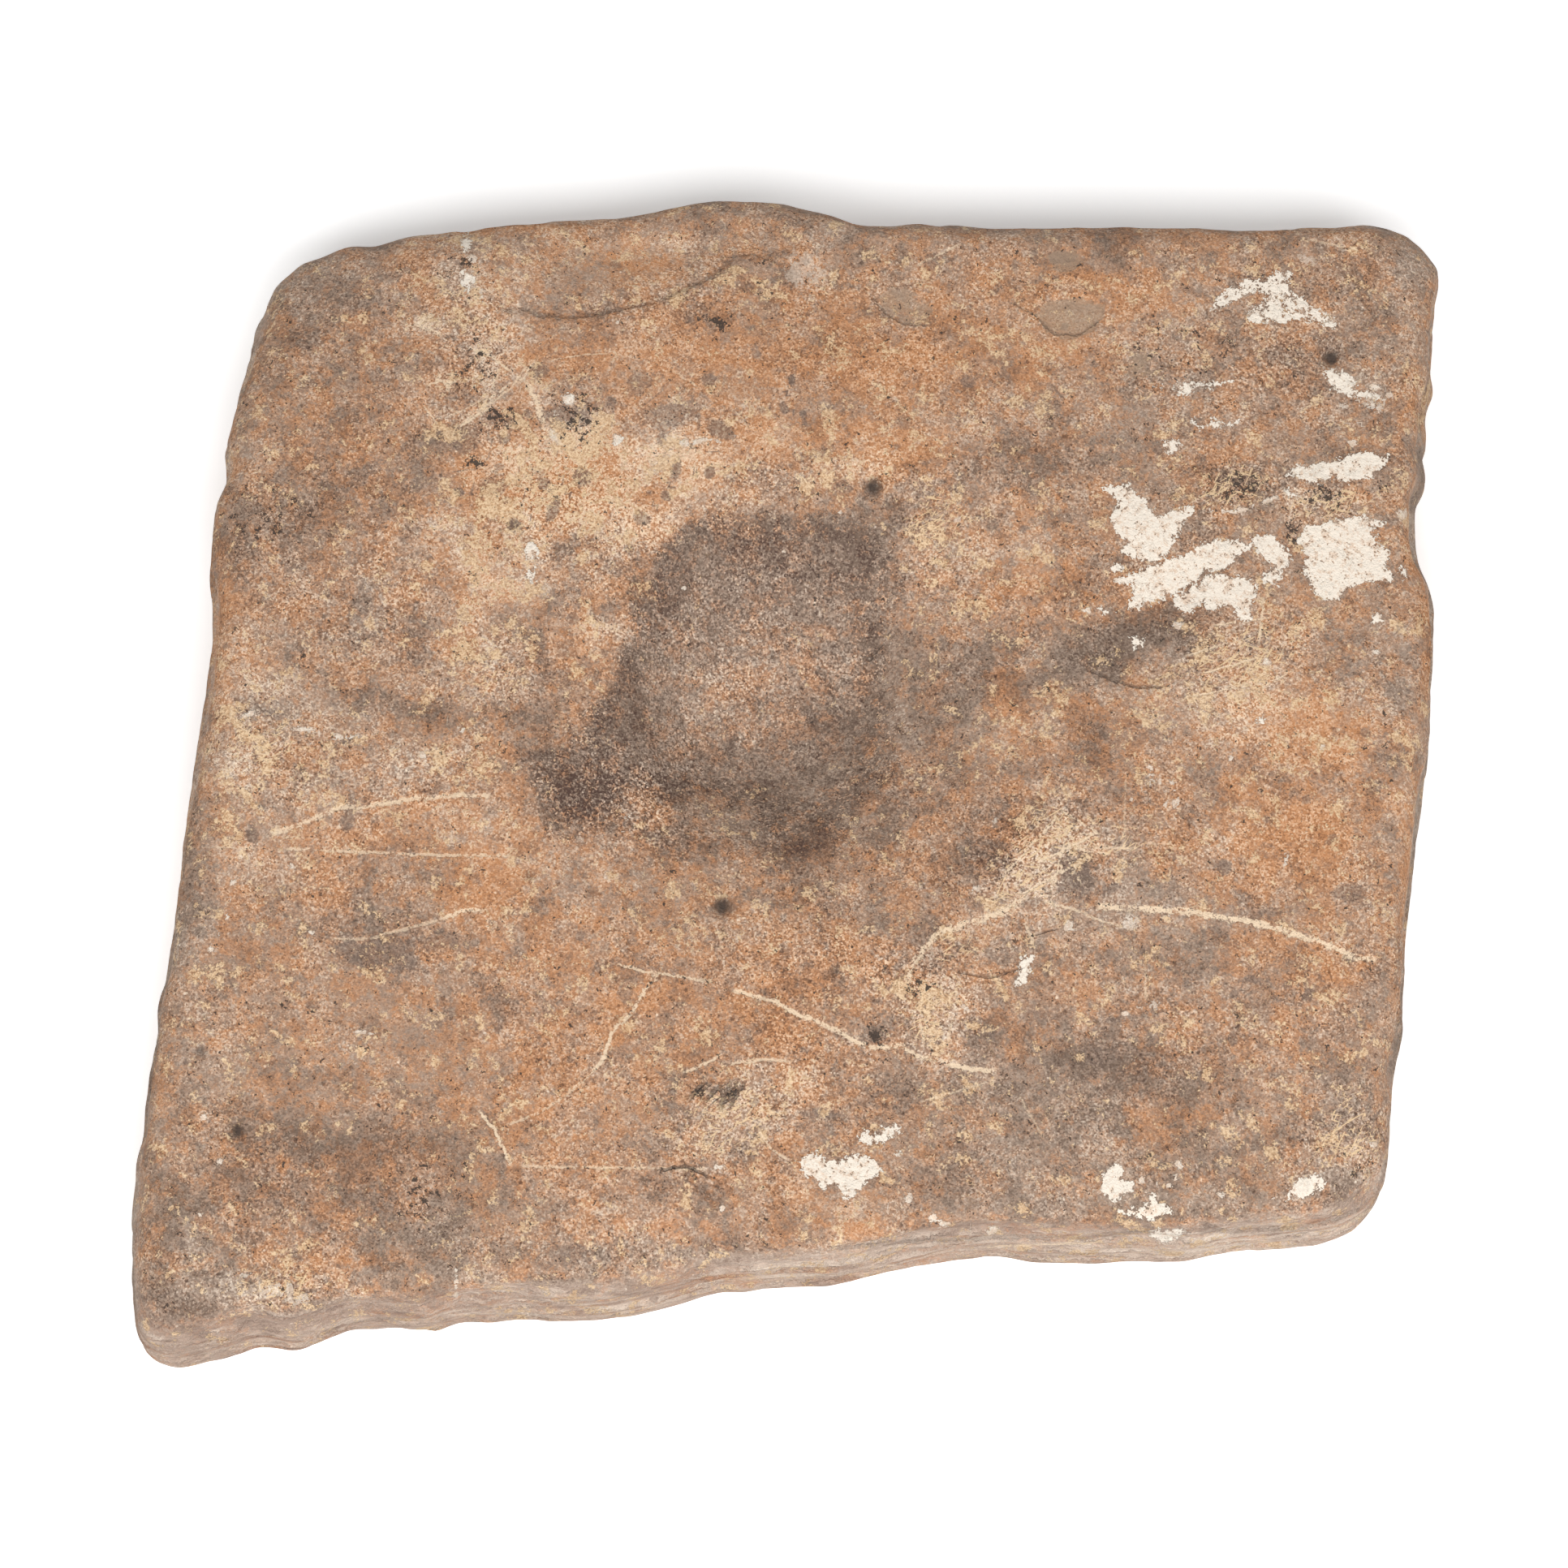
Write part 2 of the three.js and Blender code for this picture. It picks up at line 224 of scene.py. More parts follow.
# Soft patches of the face that are lighter or darker than the rest: middle, half length and half breadth
# in pixels, the change in lightness on a scale of 100, and the turn in degrees of those that have one.
# Some of the dark ones are painted shade, along the worn back, left and front edges, at the rounded
# corners and on the walls of the hollow; the rest is the stone's own tone.
TONE_PATCHES = [
    (700, 540, 60, 38, 10, 20), (630, 590, 62, 50, 6), (655, 665, 42, 42, 6), (590, 700, 66, 46, 6, 110),
    (575, 790, 46, 62, 7), (600, 850, 60, 32, 4), (700, 785, 36, 46, 8), (745, 625, 52, 62, 6, -20),
    (795, 560, 62, 32, 7), (875, 562, 62, 28, 6), (1010, 588, 62, 26, 7, 10), (1085, 563, 52, 22, 6, 20),
    (1150, 660, 46, 62, 6), (1190, 735, 52, 62, 5), (1270, 685, 52, 62, 4), (1330, 760, 62, 42, 3),
    (1300, 880, 72, 52, 4), (1480, 858, 112, 62, 7, 10), (1570, 830, 62, 72, 5), (1640, 900, 72, 62, 3),
    (1300, 1025, 56, 62, 7, 40), (1250, 1095, 62, 26, 6, 30), (1160, 1230, 62, 42, 8),
    (1160, 1292, 32, 32, 6), (310, 840, 62, 52, 5), (290, 940, 52, 82, 7), (350, 1000, 62, 42, 5),
    (300, 1060, 72, 42, 5), (370, 860, 52, 42, 5), (560, 930, 72, 42, 4), (430, 1000, 62, 42, 3),
    (720, 1100, 62, 42, 4), (900, 1380, 62, 62, 5), (850, 1340, 52, 42, 3), (966, 1335, 62, 52, 5),
    (620, 1330, 82, 62, 3), (285, 1588, 52, 32, 8), (400, 1570, 82, 32, 4), (560, 380, 52, 62, 5),
    (590, 340, 26, 62, 5), (530, 400, 32, 16, 6), (470, 960, 62, 42, 4), (1700, 1130, 40, 60, 2),
    (1560, 1330, 60, 40, 3), (370, 425, 82, 52, -6, -45), (400, 360, 34, 34, -8),
    (310, 640, 66, 42, -7, -20), (268, 690, 22, 46, -6), (430, 620, 62, 42, -4), (420, 540, 82, 62, -4),
    (515, 560, 42, 62, -5), (445, 858, 62, 24, -7, -15), (535, 885, 52, 24, -9, -10),
    (500, 790, 34, 52, -4), (640, 880, 42, 62, -5), (530, 1070, 42, 42, -4), (450, 1130, 82, 60, -5),
    (620, 1230, 52, 32, -6, -30), (300, 1390, 72, 42, -6), (400, 1420, 132, 62, -7, -10),
    (520, 1400, 102, 52, -5), (560, 1500, 62, 52, -6), (480, 1480, 62, 32, -5), (900, 290, 92, 42, -4),
    (1380, 302, 44, 32, -8), (1220, 560, 82, 26, -7, 10), (1310, 540, 62, 42, -4), (1345, 920, 26, 42, -5),
    (1345, 805, 62, 46, -13), (1420, 772, 82, 30, -12, 15), (1440, 835, 40, 22, -8),
    (1230, 830, 62, 62, -5), (1170, 820, 82, 102, -5), (1200, 960, 82, 62, -4, 40),
    (1205, 1050, 72, 32, -8, 45), (1140, 1150, 52, 26, -6, 30), (1350, 1080, 52, 32, -5),
    (1330, 1300, 52, 28, -8), (1400, 1315, 62, 32, -5), (1430, 1360, 42, 32, -5), (1280, 1350, 72, 62, -4),
    (1250, 1430, 102, 62, -4), (1180, 1440, 62, 42, -3), (1100, 1350, 42, 24, -5), (970, 1540, 42, 26, -5),
    (870, 1460, 42, 42, -5), (1600, 450, 82, 52, -5), (1700, 330, 52, 42, -7), (1480, 400, 102, 62, -3),
    (1700, 480, 52, 62, -4), (1500, 600, 82, 42, -4), (1690, 1210, 32, 62, -5), (1680, 1420, 52, 62, -4),
    (340, 320, 92, 42, -6, 30), (1333, 300, 62, 32, -4), (680, 830, 42, 102, -6), (833, 1025, 92, 46, -7),
    (1075, 1000, 42, 42, -6), (1110, 1060, 52, 42, -3), (1313, 740, 52, 52, -5), (1350, 900, 52, 52, -6),
    (1235, 1260, 72, 52, -7), (1413, 1320, 132, 92, -7), (215, 1620, 72, 62, -9), (490, 1560, 82, 52, -7),
    (893, 1540, 52, 32, -6), (400, 1500, 122, 62, -3), (233, 1040, 32, 152, -4), (553, 660, 52, 52, 5),
    (613, 560, 62, 52, 6), (833, 560, 82, 52, 7), (773, 440, 52, 42, 5), (933, 800, 72, 62, 5),
    (1223, 900, 42, 42, 6), (1213, 680, 42, 42, 5), (1533, 900, 52, 52, 5), (1513, 1040, 42, 42, 4),
    (640, 370, 30, 90, 5), (827, 333, 50, 30, 3), (820, 467, 40, 24, 4), (960, 547, 50, 36, 4),
    (1053, 540, 50, 30, 4), (670, 720, 60, 40, 4), (733, 780, 30, 36, 5), (827, 640, 40, 30, 3),
    (547, 587, 50, 26, 3), (1320, 413, 60, 30, 3), (1460, 400, 60, 36, 4), (1187, 420, 40, 30, 2),
    (1680, 460, 44, 34, 3), (1587, 613, 40, 20, 3), (1000, 985, 44, 40, 5, 40), (1227, 927, 50, 30, 3),
    (1280, 1107, 44, 30, 5), (1733, 1020, 20, 60, 4), (1693, 920, 30, 40, 3), (1733, 800, 24, 60, 3),
    (520, 1307, 50, 30, 4), (773, 1227, 60, 30, 3), (1253, 1253, 36, 36, 3), (1067, 1520, 50, 20, 4),
    (480, 1547, 36, 30, 4), (533, 1613, 40, 24, 4), (1320, 1453, 30, 30, 3), (1413, 1360, 50, 26, 3),
    (1680, 1427, 36, 44, 3), (273, 627, 24, 70, 4), (267, 733, 24, 40, 3), (327, 413, 30, 50, 3, -40),
    (387, 640, 36, 50, -4), (440, 373, 40, 30, -3), (987, 1107, 50, 30, -4), (1067, 1067, 50, 26, -3),
    (1267, 1000, 50, 20, -4, 20), (1407, 947, 36, 26, -4), (1453, 1040, 50, 36, -3, -40),
    (1020, 707, 44, 24, -4), (1187, 720, 26, 50, -3), (1520, 733, 30, 50, -3, -40),
    (867, 1320, 50, 36, -3, 30), (947, 1253, 50, 36, -3), (1073, 1367, 40, 26, -3),
    (1187, 1333, 30, 40, -4), (1420, 1453, 40, 30, -4), (1227, 1487, 50, 20, -3), (1647, 1320, 30, 40, -3),
    (233, 1393, 30, 40, -4), (200, 1533, 30, 50, -4), (333, 1440, 60, 26, -3), (440, 1627, 50, 20, -3),
    (373, 1160, 40, 40, -3), (320, 1093, 30, 40, -2), (1667, 560, 40, 16, -3), (740, 590, 150, 90, 4),
    (600, 453, 40, 40, 4), (547, 580, 40, 30, 3), (653, 640, 50, 40, 3), (860, 620, 40, 24, 4),
    (987, 540, 90, 26, 4), (933, 487, 60, 30, 3), (650, 720, 60, 36, 4), (773, 330, 60, 40, 3),
    (880, 285, 60, 24, 3), (590, 1030, 80, 50, 4), (987, 747, 60, 50, 3), (1053, 790, 50, 40, 3),
    (1050, 1490, 50, 24, 4), (1460, 360, 50, 50, 4), (1715, 330, 36, 36, 5), (1693, 493, 50, 40, 4),
    (1610, 615, 60, 24, 4), (1290, 1070, 40, 60, 4), (1245, 1240, 40, 30, 3), (1667, 1427, 40, 34, 5),
    (1440, 1373, 50, 30, 3), (393, 595, 60, 50, -4), (295, 690, 30, 40, -4), (493, 1185, 80, 36, -5),
    (640, 1240, 50, 50, -3), (480, 993, 40, 40, -3), (1000, 1055, 90, 40, -5), (870, 1055, 70, 30, -3),
    (1107, 973, 30, 36, -4), (1247, 590, 50, 26, -5), (1360, 712, 40, 40, -4), (1427, 1000, 60, 30, -3),
    (1647, 1285, 50, 60, -4), (1540, 1200, 80, 60, -2), (270, 1490, 60, 60, -4), (350, 1435, 50, 30, -3),
    (560, 1605, 80, 24, -4), (330, 1640, 110, 30, -4, -10), (1450, 1535, 210, 24, 8, 2),
    (850, 301, 170, 12, 6), (973, 1240, 50, 60, -3), (1100, 1350, 110, 40, -2), (1060, 350, 40, 40, -3),
    (1227, 302, 60, 24, -3), (1500, 1430, 60, 50, -3), (890, 850, 110, 90, 6), (880, 655, 80, 30, -3),
    (1080, 660, 40, 50, -4), (700, 970, 60, 46, -4), (1000, 1030, 50, 40, -5), (850, 975, 110, 26, -4, -5),
    (760, 880, 30, 60, -3, 20), (750, 380, 150, 30, -2), (880, 400, 40, 22, -4), (760, 1540, 60, 30, -3),
    (760, 330, 180, 60, 3), (667, 290, 40, 24, 3), (660, 490, 24, 20, 6), (760, 650, 110, 50, 4),
    (533, 673, 34, 30, 4), (853, 850, 50, 60, 4), (1000, 810, 70, 80, 4), (1027, 962, 40, 30, 5),
    (347, 800, 36, 26, 4), (590, 1022, 90, 34, 4, 10), (740, 1080, 30, 40, 4), (613, 1153, 36, 30, 4),
    (1467, 1133, 40, 30, 4), (1387, 1093, 40, 30, 4), (1267, 1133, 50, 24, 3), (1020, 1550, 150, 30, 6),
    (1160, 1545, 50, 24, 5), (1667, 1505, 40, 26, 8, 40), (987, 1467, 40, 30, 4), (1600, 720, 24, 30, 4),
    (1600, 880, 70, 40, 3), (1720, 1010, 30, 50, 3), (1267, 1027, 44, 34, -5), (1190, 1000, 60, 30, -4),
    (1067, 1040, 40, 30, -4), (1100, 973, 40, 40, -5), (953, 1073, 50, 34, -5), (870, 1053, 50, 26, -4),
    (733, 1007, 50, 26, -5), (627, 987, 36, 40, -3), (1173, 867, 24, 60, -4), (1300, 853, 34, 30, -6),
    (1380, 820, 44, 26, -5, 20), (1473, 780, 50, 26, -6, 30), (1220, 720, 34, 50, -4),
    (1300, 580, 100, 26, -4, 5), (1520, 600, 60, 30, -3, 20), (1680, 567, 60, 22, -5, -10),
    (1547, 347, 34, 30, -5), (1687, 400, 44, 26, -5), (1607, 340, 40, 24, -4), (1547, 467, 50, 34, -3),
    (973, 360, 34, 40, -3, -30), (1053, 310, 40, 30, -3), (1000, 430, 34, 50, -3), (430, 380, 44, 40, -4),
    (533, 360, 34, 30, -3), (620, 520, 30, 22, -5), (787, 720, 30, 26, -6), (347, 640, 40, 40, -3),
    (300, 680, 24, 40, -3), (300, 890, 44, 34, -4), (300, 1200, 50, 40, -3), (433, 1340, 50, 30, -5, 20),
    (633, 1327, 60, 50, -4), (667, 1133, 34, 34, -4), (580, 1227, 40, 30, -3), (893, 1350, 40, 30, -4),
    (950, 1250, 70, 36, -3), (1067, 1373, 50, 34, -3), (300, 1440, 130, 60, -3), (280, 1573, 44, 26, -4),
    (707, 1560, 50, 22, -4), (840, 1480, 50, 30, -3), (493, 1427, 40, 34, -4), (600, 1453, 50, 40, -3),
    (1450, 1427, 50, 40, -3), (1573, 1420, 44, 34, -4), (1653, 1347, 34, 40, -4), (1560, 1333, 50, 30, -3),
    (1507, 1505, 60, 20, -4), (1413, 1187, 44, 26, -3), (1560, 1253, 40, 40, -3), (1453, 1307, 40, 30, -2),
    (1187, 1107, 40, 26, -4, 30), (1127, 1027, 40, 40, -3), (960, 675, 150, 44, -5),
    (800, 740, 34, 80, -5, 25), (785, 880, 36, 90, -3), (930, 845, 110, 90, 3), (985, 1032, 60, 40, -5),
    (1390, 790, 90, 34, -4, -10), (700, 965, 60, 50, -3, -20), (625, 420, 50, 90, 4), (733, 540, 40, 26, 6),
    (620, 710, 60, 110, 5), (780, 790, 50, 60, 3), (930, 650, 60, 16, 6), (973, 1020, 36, 30, 6),
    (625, 1065, 50, 24, 5), (293, 955, 30, 30, 5), (533, 1000, 40, 30, 4), (915, 480, 60, 50, 4),
    (825, 520, 36, 60, 4), (1150, 535, 60, 36, 4), (1330, 400, 90, 60, 3), (1333, 553, 26, 16, 5),
    (1440, 830, 50, 40, 6), (1700, 440, 30, 30, 4), (1627, 453, 36, 24, 3), (1030, 1480, 60, 20, 5),
    (527, 1573, 36, 20, 5), (367, 330, 30, 24, 5), (540, 293, 50, 14, 5), (640, 281, 90, 10, 5),
    (1390, 284, 60, 10, 4), (1027, 713, 36, 24, -5), (870, 825, 40, 36, -5), (1260, 780, 36, 30, -5),
    (1160, 880, 26, 80, -4), (1130, 630, 70, 36, -4), (1500, 580, 60, 26, -4), (1387, 707, 26, 26, -5),
    (1690, 573, 50, 20, -5), (1560, 365, 36, 26, -5), (1020, 400, 50, 36, -3), (400, 590, 60, 50, -4),
    (487, 480, 40, 20, -4), (293, 680, 30, 36, -4), (627, 940, 40, 36, -4), (1307, 1000, 30, 20, -5),
    (1413, 1000, 36, 26, -5), (1333, 1053, 36, 26, -4), (1547, 1107, 50, 36, -4), (1253, 1180, 50, 30, -5),
    (987, 1280, 30, 36, -5), (825, 1347, 30, 36, -5), (667, 1307, 40, 30, -4), (1347, 1373, 40, 30, -4),
    (905, 1533, 50, 16, -5), (390, 1587, 50, 36, -5), (260, 1612, 40, 30, -4), (413, 1493, 40, 20, -4),
    (1400, 1493, 130, 16, -5), (1640, 1478, 50, 24, -8), (1000, 1533, 40, 16, -4), (640, 480, 60, 30, 4),
    (700, 560, 60, 40, 4), (860, 600, 40, 26, 6), (800, 650, 50, 26, 4), (900, 640, 60, 16, 4),
    (1050, 645, 40, 18, 5), (1540, 378, 24, 24, 6), (1640, 370, 26, 30, 3), (1400, 790, 30, 26, 5),
    (1400, 730, 40, 40, 4), (830, 750, 40, 26, 4), (540, 700, 26, 30, -3), (560, 640, 30, 24, 4),
    (973, 1030, 36, 20, 5), (1080, 1220, 24, 20, 5), (720, 1230, 24, 20, 4), (860, 1160, 24, 20, 5),
    (680, 1060, 24, 30, 5), (1440, 1010, 16, 40, 4), (1660, 920, 24, 30, 4), (1690, 620, 30, 30, 4),
    (1200, 1135, 60, 20, 5), (1050, 1490, 50, 30, 4), (850, 1440, 50, 24, 4), (400, 640, 50, 40, -3),
    (580, 670, 20, 14, -6), (1000, 1110, 40, 30, -4), (1340, 1000, 40, 16, -4), (520, 1622, 60, 4, -7, -8),
    (650, 1608, 70, 4, -7, -6), (700, 1588, 60, 4, -6, -8), (800, 1585, 60, 4, -6, -6),
    (870, 1572, 40, 4, -6, -5), (600, 1605, 40, 5, 5, -8), (760, 1600, 50, 5, 5, -5),
    (1310, 1540, 60, 4, -6, -3), (1480, 1528, 60, 4, -6, -3), (1200, 1552, 50, 4, 4, -4),
    (1600, 1525, 50, 4, -5, -5), (1190, 1512, 90, 9, -6, -3), (1350, 1508, 90, 9, -6),
    (1500, 1516, 80, 9, -6), (1630, 1498, 70, 9, -5, -12), (670, 500, 30, 20, 4), (735, 530, 30, 24, 5),
    (940, 530, 40, 24, 4), (820, 585, 30, 20, 4), (850, 670, 26, 40, 5), (830, 790, 24, 24, 4),
    (780, 880, 40, 20, 4), (680, 970, 20, 40, 5), (830, 960, 40, 20, 4), (1060, 880, 24, 30, 5),
    (1050, 950, 40, 24, 3), (890, 1350, 30, 20, 4), (1060, 1290, 24, 20, 4), (1290, 1120, 24, 30, 4),
    (1640, 355, 40, 30, -5), (1675, 565, 40, 20, -5), (1380, 575, 50, 20, -5), (1180, 1030, 30, 24, -5),
    (1180, 1190, 24, 40, -5), (1190, 1390, 30, 24, -4), (960, 1350, 20, 40, -5), (1490, 740, 30, 24, -4),
    (1350, 945, 40, 24, -5), (680, 1575, 50, 14, -5, -6), (365, 1620, 40, 20, -5), (190, 1590, 30, 60, -4),
    (200, 1480, 30, 50, -4),
]

# Soft patches that are more orange, or greyer where the strength is below nothing. The strength comes
# after the two halves here and in the next tables, and a turn stands last.
WARM_PATCHES = [
    (950, 430, 262, 72, 0.22), (1130, 430, 122, 72, 0.2), (1350, 350, 112, 52, 0.2),
    (1300, 420, 102, 52, 0.15), (1110, 560, 72, 32, 0.25, 20), (850, 590, 62, 42, 0.2, 20),
    (700, 580, 112, 62, 0.18), (600, 700, 62, 92, 0.15), (700, 790, 42, 52, 0.2), (1350, 730, 82, 72, 0.18),
    (1360, 900, 62, 62, 0.18), (1640, 950, 72, 152, 0.3), (1600, 1050, 102, 52, 0.25),
    (1650, 850, 62, 62, 0.15), (580, 1090, 72, 52, 0.28), (520, 1000, 82, 62, 0.1),
    (800, 1220, 262, 122, 0.1), (770, 1250, 62, 62, 0.12), (1000, 1200, 102, 82, 0.12),
    (980, 1290, 62, 62, 0.1), (640, 1340, 102, 92, 0.12), (903, 1575, 50, 9, 0.3, -6),
    (300, 1560, 92, 32, 0.12), (430, 1560, 72, 32, 0.1), (360, 370, 62, 62, -0.2),
    (330, 640, 72, 42, -0.12), (440, 870, 82, 32, -0.1, -10), (540, 780, 42, 52, -0.1),
    (430, 1130, 62, 62, -0.22), (500, 1220, 62, 42, -0.1), (660, 1230, 42, 32, -0.1),
    (680, 860, 62, 62, -0.12), (1210, 840, 82, 92, -0.2), (1240, 580, 62, 32, -0.1),
    (1340, 810, 72, 42, -0.3), (1430, 790, 62, 32, -0.2), (1450, 520, 162, 122, -0.1),
    (1380, 1080, 102, 62, -0.15), (1440, 1150, 152, 82, -0.1), (1300, 1330, 202, 122, -0.2),
    (1450, 1420, 162, 82, -0.15), (300, 1400, 202, 62, -0.08), (1700, 400, 62, 122, -0.12),
    (600, 590, 60, 36, 0.14), (670, 640, 60, 50, 0.16, -20), (660, 447, 50, 50, 0.1),
    (960, 527, 60, 40, 0.2), (1053, 533, 50, 36, 0.18), (1240, 867, 40, 70, 0.3), (1560, 867, 50, 80, 0.14),
    (1440, 1373, 70, 36, 0.3), (1253, 1280, 50, 60, 0.16), (773, 1440, 60, 30, 0.1),
    (413, 1120, 30, 30, 0.14), (653, 1053, 60, 36, 0.1), (272, 740, 20, 110, 0.2),
    (1740, 1050, 20, 110, 0.26), (1427, 1053, 50, 36, 0.12), (1640, 1187, 70, 30, 0.14),
    (560, 787, 44, 30, 0.12), (1220, 360, 50, 26, 0.14), (1760, 800, 16, 60, 0.2),
    (330, 420, 30, 60, 0.12, -40), (1060, 690, 70, 36, -0.14), (880, 720, 80, 30, -0.08),
    (1647, 967, 40, 40, -0.26), (1680, 840, 40, 50, -0.2), (1653, 1067, 40, 24, -0.14),
    (453, 733, 44, 60, -0.14), (387, 600, 50, 36, -0.12), (433, 800, 36, 36, -0.1),
    (933, 413, 110, 30, -0.16), (1120, 400, 44, 40, -0.12), (1360, 730, 26, 70, -0.12),
    (1373, 880, 26, 60, -0.12), (1320, 387, 50, 26, -0.14, 30), (253, 1560, 80, 40, -0.24),
    (720, 1560, 60, 30, -0.22), (1240, 1447, 60, 26, -0.14), (1627, 1490, 50, 24, -0.12),
    (1640, 1320, 36, 40, -0.12), (253, 1307, 50, 50, -0.12), (427, 1307, 36, 50, -0.12),
    (453, 367, 60, 26, -0.12), (900, 1250, 80, 40, 0.04), (930, 850, 120, 100, 0.16),
    (1390, 790, 90, 34, -0.12, -10), (800, 620, 110, 50, 0.1), (790, 330, 60, 40, 0.2),
    (453, 533, 40, 40, 0.12), (640, 600, 110, 50, 0.14), (720, 560, 80, 60, 0.08), (707, 867, 50, 70, 0.13),
    (410, 1060, 60, 80, 0.12), (1500, 540, 80, 60, 0.15), (1540, 990, 60, 60, 0.15),
    (1590, 1170, 100, 60, 0.1), (1313, 1230, 50, 60, 0.12), (1430, 1413, 70, 30, 0.15),
    (293, 1427, 40, 40, 0.12), (700, 1430, 50, 60, 0.1), (975, 1440, 60, 50, 0.1), (1240, 740, 50, 60, 0.1),
    (1120, 525, 60, 30, 0.12), (905, 540, 60, 50, 0.15), (1270, 460, 70, 30, 0.1),
    (1750, 700, 24, 110, 0.35), (1733, 490, 30, 40, 0.2), (256, 790, 16, 80, 0.2), (640, 280, 120, 14, 0.2),
    (900, 260, 80, 14, -0.12), (530, 1520, 110, 50, -0.18), (230, 1605, 70, 30, -0.25),
    (790, 1540, 160, 24, -0.15), (1350, 1485, 300, 24, -0.2), (1665, 1360, 40, 60, -0.15),
    (1240, 1430, 80, 50, -0.12), (1240, 1165, 60, 40, -0.15), (1107, 870, 40, 130, -0.15),
    (940, 830, 60, 60, -0.1), (900, 1020, 60, 40, -0.15), (1067, 1010, 50, 40, -0.12),
    (1650, 835, 60, 80, -0.15), (1680, 1010, 50, 80, -0.12), (250, 1080, 20, 100, -0.15),
    (320, 570, 40, 40, -0.12), (290, 680, 30, 50, -0.1), (425, 333, 50, 26, -0.2),
    (560, 340, 40, 30, -0.12), (1360, 315, 60, 26, -0.15), (1740, 325, 40, 30, -0.25),
    (1010, 290, 60, 20, -0.15), (375, 440, 36, 50, -0.1), (545, 1093, 50, 40, -0.12),
    (613, 1293, 40, 24, -0.1), (867, 613, 40, 26, -0.15), (1360, 700, 30, 60, -0.1),
    (1347, 900, 30, 60, -0.1), (960, 850, 70, 60, 0.08), (700, 440, 80, 30, 0.1), (1707, 1000, 30, 30, 0.1),
    (1465, 1080, 60, 30, 0.1), (1053, 1510, 60, 20, 0.2), (430, 1133, 50, 40, 0.1),
    (493, 1240, 50, 40, 0.12), (680, 1000, 24, 24, 0.15), (730, 960, 50, 30, 0.12),
    (213, 1147, 20, 60, -0.25), (453, 1573, 70, 16, -0.25), (1640, 1455, 50, 24, -0.3),
    (1742, 722, 20, 20, -0.25), (1722, 865, 24, 40, -0.15), (1748, 640, 16, 26, 0.3),
    (1070, 625, 24, 20, -0.15), (1120, 733, 30, 36, -0.1), (680, 773, 24, 24, -0.15),
    (973, 1133, 24, 24, -0.15), (1187, 1040, 30, 30, -0.12), (1467, 1225, 80, 30, -0.1),
    (930, 1550, 90, 16, -0.15), (680, 1587, 60, 14, -0.2), (1270, 288, 80, 10, -0.15),
    (1045, 420, 50, 24, -0.1), (720, 590, 80, 60, 0.2), (720, 630, 40, 30, 0.12), (1010, 550, 40, 30, 0.2),
    (1670, 690, 50, 40, 0.15), (1640, 1220, 40, 30, 0.15), (1250, 1030, 50, 40, 0.15),
    (590, 560, 50, 40, 0.15), (1100, 400, 40, 30, -0.15), (1540, 370, 40, 30, -0.15),
    (1400, 410, 40, 30, -0.12), (990, 690, 30, 40, -0.12), (330, 880, 50, 40, -0.2),
    (500, 950, 40, 30, -0.22), (240, 1160, 30, 60, -0.2), (300, 1590, 50, 30, -0.22),
    (1740, 790, 30, 80, -0.15), (1360, 550, 40, 30, -0.1), (240, 1510, 50, 40, -0.15),
    (570, 1570, 70, 16, -0.2, -8), (890, 1550, 60, 10, -0.2, -6), (1690, 1230, 30, 30, -0.12),
    (1080, 650, 40, 40, -0.15),
]

# Cream crusts
CRUST_PATCHES = [
    (575, 400, 70, 34, 0.6, -80), (545, 392, 30, 14, 0.8), (735, 540, 40, 26, 0.9, 20),
    (640, 520, 60, 14, 0.6, -60), (690, 580, 70, 50, 0.5), (610, 640, 50, 60, 0.5, 20),
    (820, 576, 16, 28, 0.9), (720, 650, 60, 50, 0.5), (640, 760, 46, 80, 0.45, 10),
    (575, 800, 40, 60, 0.55), (1150, 660, 50, 60, 0.6), (1180, 720, 50, 60, 0.5), (1010, 600, 60, 26, 0.6),
    (1280, 1040, 40, 66, 0.3, -30), (1350, 1030, 60, 40, 0.2), (1245, 1100, 60, 16, 0.6, 30),
    (1130, 1216, 66, 34, 0.8, -10), (1150, 1250, 36, 30, 0.8), (1155, 1296, 32, 22, 0.7),
    (1143, 1380, 14, 24, 0.7), (1150, 1160, 50, 12, 0.8, 45), (895, 1370, 60, 56, 0.3),
    (1500, 830, 90, 60, 0.35, 10), (1560, 790, 50, 60, 0.3), (340, 1590, 70, 30, 0.7),
    (330, 920, 70, 60, 0.5), (290, 1000, 50, 60, 0.5), (560, 935, 60, 30, 0.5), (1660, 1400, 50, 56, 0.2),
    (840, 1440, 40, 14, 0.6), (875, 350, 60, 12, 0.8, 25), (820, 372, 60, 10, 0.6, 20),
    (911, 330, 14, 12, 1), (853, 324, 9, 8, 1), (648, 324, 12, 14, 0.8), (939, 360, 14, 16, 0.7),
    (550, 540, 40, 30, 0.4), (1520, 600, 56, 30, 0.3), (1630, 622, 66, 18, 0.4), (1560, 622, 30, 12, 0.6),
    (1470, 590, 40, 40, 0.4), (262, 1220, 16, 60, 0.5), (300, 870, 40, 30, 0.5), (420, 905, 50, 16, 0.5),
    (600, 610, 100, 36, 0.3), (1465, 850, 50, 50, 0.3), (1373, 1027, 30, 26, 0.2),
    (1240, 880, 60, 80, 0.15),
]

